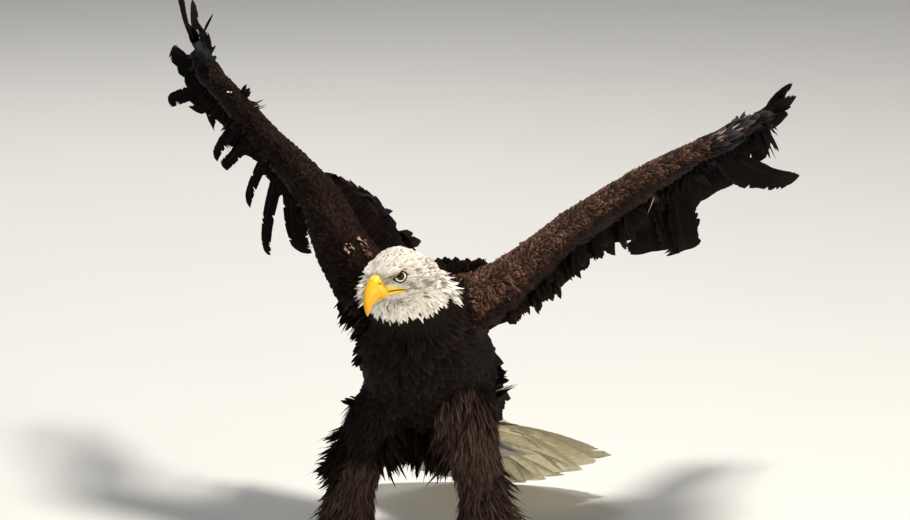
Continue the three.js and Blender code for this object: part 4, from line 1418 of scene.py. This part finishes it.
def growTail():
    base, up = np.array(tail["base"], float), np.array(tail["up"])
    feathers, coverts = [], []

    def vaneAt(share, back, height=0.0):  # root and tip of a tail feather, and the way it points
        turn = math.radians(tail["fan"] * share)
        long = tail["length"] * (1 - 0.05 * share * share)
        root = base + (tail["rootSpread"] * share, 0, 6 - 10 * share * share)
        tip = base + (long * math.sin(turn), 0.92 * long * math.cos(turn), 52 * abs(share) ** 1.7 - base[2])
        way = unit(tip - root)
        return root - way * back + up * height, tip, way

    # their cream tone is partly painted light shining through them
    for share in np.linspace(-1, 1, tail["feathers"]):
        root, tip, way = vaneAt(share, 26)
        feathers.append(featherOf(
            root, tip + (0, 0, 1.5), (1, 0, 0.22 * share), up, "tail",
            lead=0.5 - 0.16 * share, roll=-0.04 * (1 if share > 0 else -1), **tail["look"],
        ))
    for sign in (1, -1):
        for row, (back, long, many, height) in enumerate(tail["coverts"]):
            for share in np.linspace(-1.02, 1.02, many):
                root, _, way = vaneAt(share * (1 - 0.08 * row), back, height * sign)
                tip = root + unit(way + np.array((0, 0.02, 0.05)) * sign) * long
                out = (1, 0, -0.3 * share)
                coverts.append(featherOf(root, tip, out, up * sign, "white", **tail["covertLook"]))
    piece = quillPiece("tail_feathers", feathers, tailFinish, 51, coatMap=False)
    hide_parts("tail")
    quillPiece("tail_coverts", coverts, tailFinish, 52)


growTail()
print("large feathers made")

bill = {
    "upper": {
        "path": [(0, -20, -0.5), (0, -42.5, -0.5), (0, -57, -6.5), (0, -67, -18), (0, -71.2, -31.4)],
        "width": (15, 12.8, 8.6, 5.0, 0.8),
        "top": (17, 14.2, 9.4, 5.2, 1.0),
        "below": (11, 12.6, 10.4, 6, 1.0),
        "section": [
            (0, 1), (0.34, 0.93), (0.62, 0.72), (0.83, 0.40), (0.95, 0), (1, -0.45), (0.97, -0.82),
            (0.86, -1), (0.6, -0.86), (0.3, -0.78), (0, -0.75),
        ],
    },
    "lower": {
        "path": [(0, -8, -18), (0, -22, -16.6), (0, -36, -15.2), (0, -46, -16.2), (0, -54, -18.5)],
        "width": (15, 13.4, 11.2, 7.4, 1.2),
        "top": (4, 5, 5.2, 3.0, 0.8),
        "below": (4, 4.5, 4.5, 3.6, 0.8),
        "section": [
            (0, 0.7), (0.4, 0.75), (0.8, 0.95), (0.98, 0.8), (1, 0.2), (0.9, -0.4), (0.65, -0.8),
            (0.3, -0.97), (0, -1),
        ],
    },
    "nostril": (-43.4, 5.6), "nostrilSize": (3.2, 1.7), "nostrilDeep": 2.2, "cere": -46.5, "cereProud": 0.5,
}


def evenLine(values, rounds=10):
    values = np.array(values, float)
    for _ in range(rounds):
        values[1:-1] = (values[:-2] + 2 * values[1:-1] + values[2:]) / 4
    return values


def billMesh(spec, rings=90, sides=24):  # one half of the bill as rings round a line that curls down
    shares = 1 - (1 - np.linspace(0, 1, rings)) ** 1.2
    line = pathAt(spec["path"], shares)
    above = unit(np.cross((1, 0, 0), tangentAt(spec["path"], shares)))
    above *= np.sign(above[:, 2:3] + 1e-6)
    stations = np.linspace(0, 1, len(spec["width"]))
    width, top, below = (
        evenLine(np.interp(shares, stations, spec[key]))[:, None] for key in ("width", "top", "below")
    )
    half = pathAt(np.array([(x, z, 0.0) for x, z in spec["section"]]), np.linspace(0, 1, sides))[:, :2]
    across, up = np.vstack([half, (half * (-1, 1))[-2:0:-1]]).T
    spots = line[:, None] + above[:, None] * (np.maximum(up, 0) * top + np.minimum(up, 0) * below)[..., None]
    spots[..., 0] += across * width
    spots, faces = closedRings(spots, line)
    return spots, faces[:, ::-1]


def makeBill():
    finish = Finish("horn")
    grain = finish.noise(260, 4)
    stretch = finish.put("ShaderNodeMapping", {}, {"Vector": finish.spot(), "Scale": (180, 180, 1200)})
    layers = finish.noise(1.0, 2, where=stretch)
    colour = finish.mix(grain.between(0.35, 0.75) * 0.3, finish.colour("pigment"), (0.80, 0.40, 0.02))
    colour = finish.mix(1.0, colour, shadeOf(finish, layers * 0.12 + 0.94), "MULTIPLY")
    material = finish.wear(
        BaseColor=colour,
        Roughness=grain.between(0.3, 0.7, 0.30, 0.44),
        Normal=finish.bump(layers * 0.3 + grain * 0.5, 0.0003, 0.4),
        SpecularIORLevel=0.25, SubsurfaceWeight=0.05, SubsurfaceRadius=(0.004, 0.002, 0.001),
    )
    for which in ("upper", "lower"):
        heads, faces = billMesh(bill[which])
        pigment = np.tile(tones["bill"], (len(heads), 1))
        if which == "upper":
            normals = normalsOf(heads, faces)
            away = (heads[:, 1:] - bill["nostril"]) / bill["nostrilSize"]
            away[:, 1] += 0.3 * away[:, 0]
            hole = smoothStep(1.05, 0.55, np.linalg.norm(away, axis=1)) * (np.abs(heads[:, 0]) > 3)
            cere = smoothStep(bill["cere"] - 0.6, bill["cere"] + 0.6, heads[:, 1] + 0.12 * heads[:, 2])
            heads = heads + normals * (bill["cereProud"] * cere - bill["nostrilDeep"] * hole)[:, None]
            tip = smoothStep(-6, -30, heads[:, 2]) * smoothStep(-56, -66, heads[:, 1])
            # the nostril painted dark, as shade in its hollow
            for share, tone in ((cere * 0.5, "gape"), (tip, "billTip"), (hole * 0.95, "groove")):
                pigment = washed(pigment, share, tone)
        else:  # painted shade where it meets the upper half
            meet = smoothStep(-1.2, -0.2, mouthShare(heads * (3, 1, 1) + (0, 0, 1.6))[1])
            pigment = washed(pigment, meet, "groove")
        piece = makePiece("bill_" + which, place(fromHead(heads)), faces, material)
        paint(piece, "pigment", pigment)
        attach(piece, "root")
        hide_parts(which + "_bill")


makeBill()

eyeLook = {
    "toward": (0.75, -0.62, 0.21), "reach": 1.6, "bulge": 0.05, "rings": 56, "sides": 64,
    "pupil": 0.48, "iris": 0.80,  # in radians from the middle, as reach is
    "black": (0.004, 0.004, 0.004),
}


def eyeFinish():  # pupil, iris and rim, by the angle from the middle of the eye
    finish, pupil, iris, black = Finish("eye_glass"), eyeLook["pupil"], eyeLook["iris"], eyeLook["black"]
    dial = finish.put("ShaderNodeSeparateXYZ", None, {0: finish.put("ShaderNodeUVMap", {"uv_map": "dial"})})
    turn = Wire(finish, dial.socket.node.outputs[1])
    rays = (turn * 310).wave() * 0.5 + (turn * 173).wave() * 0.5
    stops = (
        (0.0, black), (pupil, black), (pupil + 0.03, (0.45, 0.38, 0.18)), (pupil + 0.10, (0.80, 0.75, 0.50)),
        (iris - 0.06, (0.84, 0.80, 0.58)), (iris, (0.06, 0.045, 0.03)),
        (eyeLook["reach"], (0.02, 0.016, 0.014)),
    )
    stops = [(angle / eyeLook["reach"], colour) for angle, colour in stops]
    ring = finish.put("ShaderNodeValToRGB", {"stops": stops}, {0: dial})
    colour = finish.mix(1.0, ring, shadeOf(finish, rays * 0.08 + 0.96), "MULTIPLY")
    return finish.wear(
        BaseColor=colour, Roughness=0.2, SpecularIORLevel=0.1, CoatWeight=0.45, CoatRoughness=0.03
    )


def makeEyes():
    material, rings, sides = eyeFinish(), eyeLook["rings"], eyeLook["sides"]
    angle = np.linspace(0.002, math.pi - 0.002, rings)
    turn = np.linspace(0, 2 * math.pi, sides + 1)
    radius = eyeball["radius"] * (1 + eyeLook["bulge"] * smoothStep(0.62, 0.1, angle)) - 0.05
    for which, side in (("left", 1), ("right", -1)):
        gaze = headTurn @ unit(np.array(eyeLook["toward"]) * (side, 1, 1))
        aside = unit(np.cross(gaze, (0, 0, 1)))
        above = np.cross(aside, gaze)
        ringWay = aside * np.cos(turn)[:, None] + above * np.sin(turn)[:, None]
        out = gaze * np.cos(angle)[:, None, None] + ringWay * np.sin(angle)[:, None, None]
        middle = fromHead([np.array(eyeball["at"]) * (side, 1, 1)])[0]
        spots = place(middle + (out * radius[:, None, None]).reshape(-1, 3))
        piece = makePiece("eyeball_" + which, spots, sheets(rings, sides + 1)[:, [0, 3, 2, 1]], material)
        dial = flatGrid(turn / (2 * math.pi), np.minimum(angle / eyeLook["reach"], 1))
        mapOnto(piece, "dial", dial[:, ::-1])
        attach(piece, "root")
        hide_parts("eye_" + which)


makeEyes()


def toeLine(which, toe):
    foot, spec = feet[which], toes[toe]
    angle = math.radians(foot["turn"] - (1 if which == "left" else -1) * spec["splay"])
    way = np.array((math.sin(angle), -math.cos(angle), 0))

    def out(distance, height):
        return np.array((*foot["at"], height)) + way * distance

    long, claw = spec["length"], spec["claw"]
    line = [out(0, 15), out(0.35 * long, 12), out(0.7 * long, 8), out(long, 7)]
    hook = [out(long + share * claw, up) for share, up in ((0.36, 14), (0.74, 10), (0.86, 1.2))]
    hook = [out(long - 5, 9)] + hook
    return line, hook


plateSpec = {  # the scutes over a toe, in millimetres
    "apart": 4.6, "from": 0.22, "to": 0.96, "turn": 1.15, "columns": 11, "proud": 0.5,
    "steps": ((-3.2, -0.9), (-2.4, 0.15), (0, 0.55), (2.0, 0.6), (2.9, -0.5)),  # along the toe and outwards
}


def footFinishes():
    horn, plate = Finish("claw_horn"), Finish("toe_scale")
    grain, speck = horn.noise(400, 4), plate.noise(500, 3)
    horn.wear(
        BaseColor=horn.mix(grain.between(0.4, 0.8), (0.012, 0.011, 0.011), (0.05, 0.045, 0.04)),
        Roughness=grain.between(0.3, 0.7, 0.22, 0.36),
        Normal=horn.bump(grain, 0.0003, 0.4),
        SpecularIORLevel=0.55,
    )
    plate.wear(
        BaseColor=plate.mix(speck.between(0.35, 0.75) * 0.6, (0.78, 0.47, 0.06), (0.50, 0.27, 0.04)),
        Roughness=0.42, Normal=plate.bump(speck, 0.0003, 0.5), SpecularIORLevel=0.5,
    )
    return horn.material, plate.material


def toePlates(line, spec):
    plates, many = [], int(spec["length"] / plateSpec["apart"])
    turn = np.linspace(-plateSpec["turn"], plateSpec["turn"], plateSpec["columns"])
    for share in np.linspace(plateSpec["from"], plateSpec["to"], many):
        middle, along = pathAt(line, share)[0], tangentAt(line, share)[0]
        aside = unit(np.cross(along, (0, 0, 1)))
        above = np.cross(aside, along)
        radius = spec["girth"] * 9 * (1.06 - 0.2 * share + 0.07 * math.cos(19 * share)) + plateSpec["proud"]
        out = aside * np.sin(turn)[:, None] + above * np.cos(turn)[:, None]
        bend = along * 1.3 * np.cos(turn * 1.3)[:, None]
        rows = [middle + along * step + bend + out * (radius + lift) for step, lift in plateSpec["steps"]]
        plates.append((place(np.vstack(rows)), halves(sheets(len(rows), len(turn)))))
    return plates


talonRadii = ([0, 0.4, 0.8, 1], [5.4, 4.6, 2.4, 0.5])


def makeFeet():
    horn, plate = footFinishes()
    shares = np.linspace(0, 1, 30)
    columns, rows = (np.linspace(-0.5, 0.5, many) for many in (plateSpec["columns"], len(plateSpec["steps"])))
    patch = flatGrid(columns, rows)
    for which in feet:
        plates = []
        for toe, spec in toes.items():
            line, hook = toeLine(which, toe)
            radii = np.interp(shares, *talonRadii) / 1000
            spots, faces = tube(place(pathAt(hook, shares)), radii, 16, 0.8)
            spots[:, 2] = np.maximum(spots[:, 2], 0.0002)
            piece = makePiece(f"talon_{which}_{toe}", spots, faces, horn)
            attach(piece, "root")
            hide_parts(f"claw_{which}_{toe}")
            plates += toePlates(line, spec)
        spots, faces = gathered(plates)
        piece = makePiece("toe_scales_" + which, spots, faces, plate)
        places = np.repeat(placeOnUnwrap(spots[:: len(patch)]), len(patch), axis=0)
        mapOnto(piece, "OFBake", places + np.tile(patch * bakePatch, (len(plates), 1)))
        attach(piece, "root")


makeFeet()
print("bill, eyes and feet made")

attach(skinPiece, "root")
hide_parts(*[node for node in fleshNodes if not node.startswith("eye")])

studio = {
    "floor": (0.66, 0.65, 0.62), "speck": (0.56, 0.55, 0.53), "ground": (40, 40, 60),
    "sky": (0.93, 0.96, 1.0, 1), "world": 0.24, "aim": (0, 0, 0.45),
}
lamps = {
    "key": {"at": (1.3, -1.3, 5.4), "size": 1.1, "power": 405, "colour": (1.0, 0.95, 0.88)},
    "fill": {"at": (-3.2, -2.6, 1.6), "size": 2.5, "power": 22, "colour": (0.90, 0.95, 1.0)},
    "low": {"at": (3.2, -2.4, 0.9), "size": 1.2, "power": 74, "colour": (1.0, 0.93, 0.80)},
    "back": {"at": (-1.5, 3.4, 3.0), "size": 2.0, "power": 60, "colour": (1.0, 1.0, 1.0)},
}


def setStudio():
    wide, near, far = studio["ground"]
    ground = [(-wide, -near, 0), (wide, -near, 0), (wide, far, 0), (-wide, far, 0)]
    finish = Finish("studio_floor")
    speck = finish.noise(3.0, 2)
    colour = finish.mix(speck * 0.3, studio["floor"], studio["speck"])
    finish.wear(BaseColor=colour, Roughness=0.85, SpecularIORLevel=0.2)
    makePiece("floor", ground, [(0, 1, 2, 3)], finish.material, smooth=False)
    bpy.context.scene.view_settings.view_transform = "Standard"
    world = bpy.data.worlds.new("studio")
    bpy.context.scene.world = world
    world.use_nodes = True
    sky = world.node_tree.nodes["Background"].inputs
    sky["Color"].default_value, sky["Strength"].default_value = studio["sky"], studio["world"]
    for name, spec in lamps.items():
        lamp = bpy.data.objects.new(name, bpy.data.lights.new(name, "AREA"))
        bpy.context.scene.collection.objects.link(lamp)
        lamp.data.shape, lamp.data.size = "DISK", spec["size"]
        lamp.data.energy, lamp.data.color = spec["power"], spec["colour"]
        lamp.location = spec["at"]
        away = Vector(spec["at"]) - Vector(studio["aim"])
        lamp.rotation_euler = away.to_track_quat("Z", "Y").to_euler()


setStudio()
print("studio set")
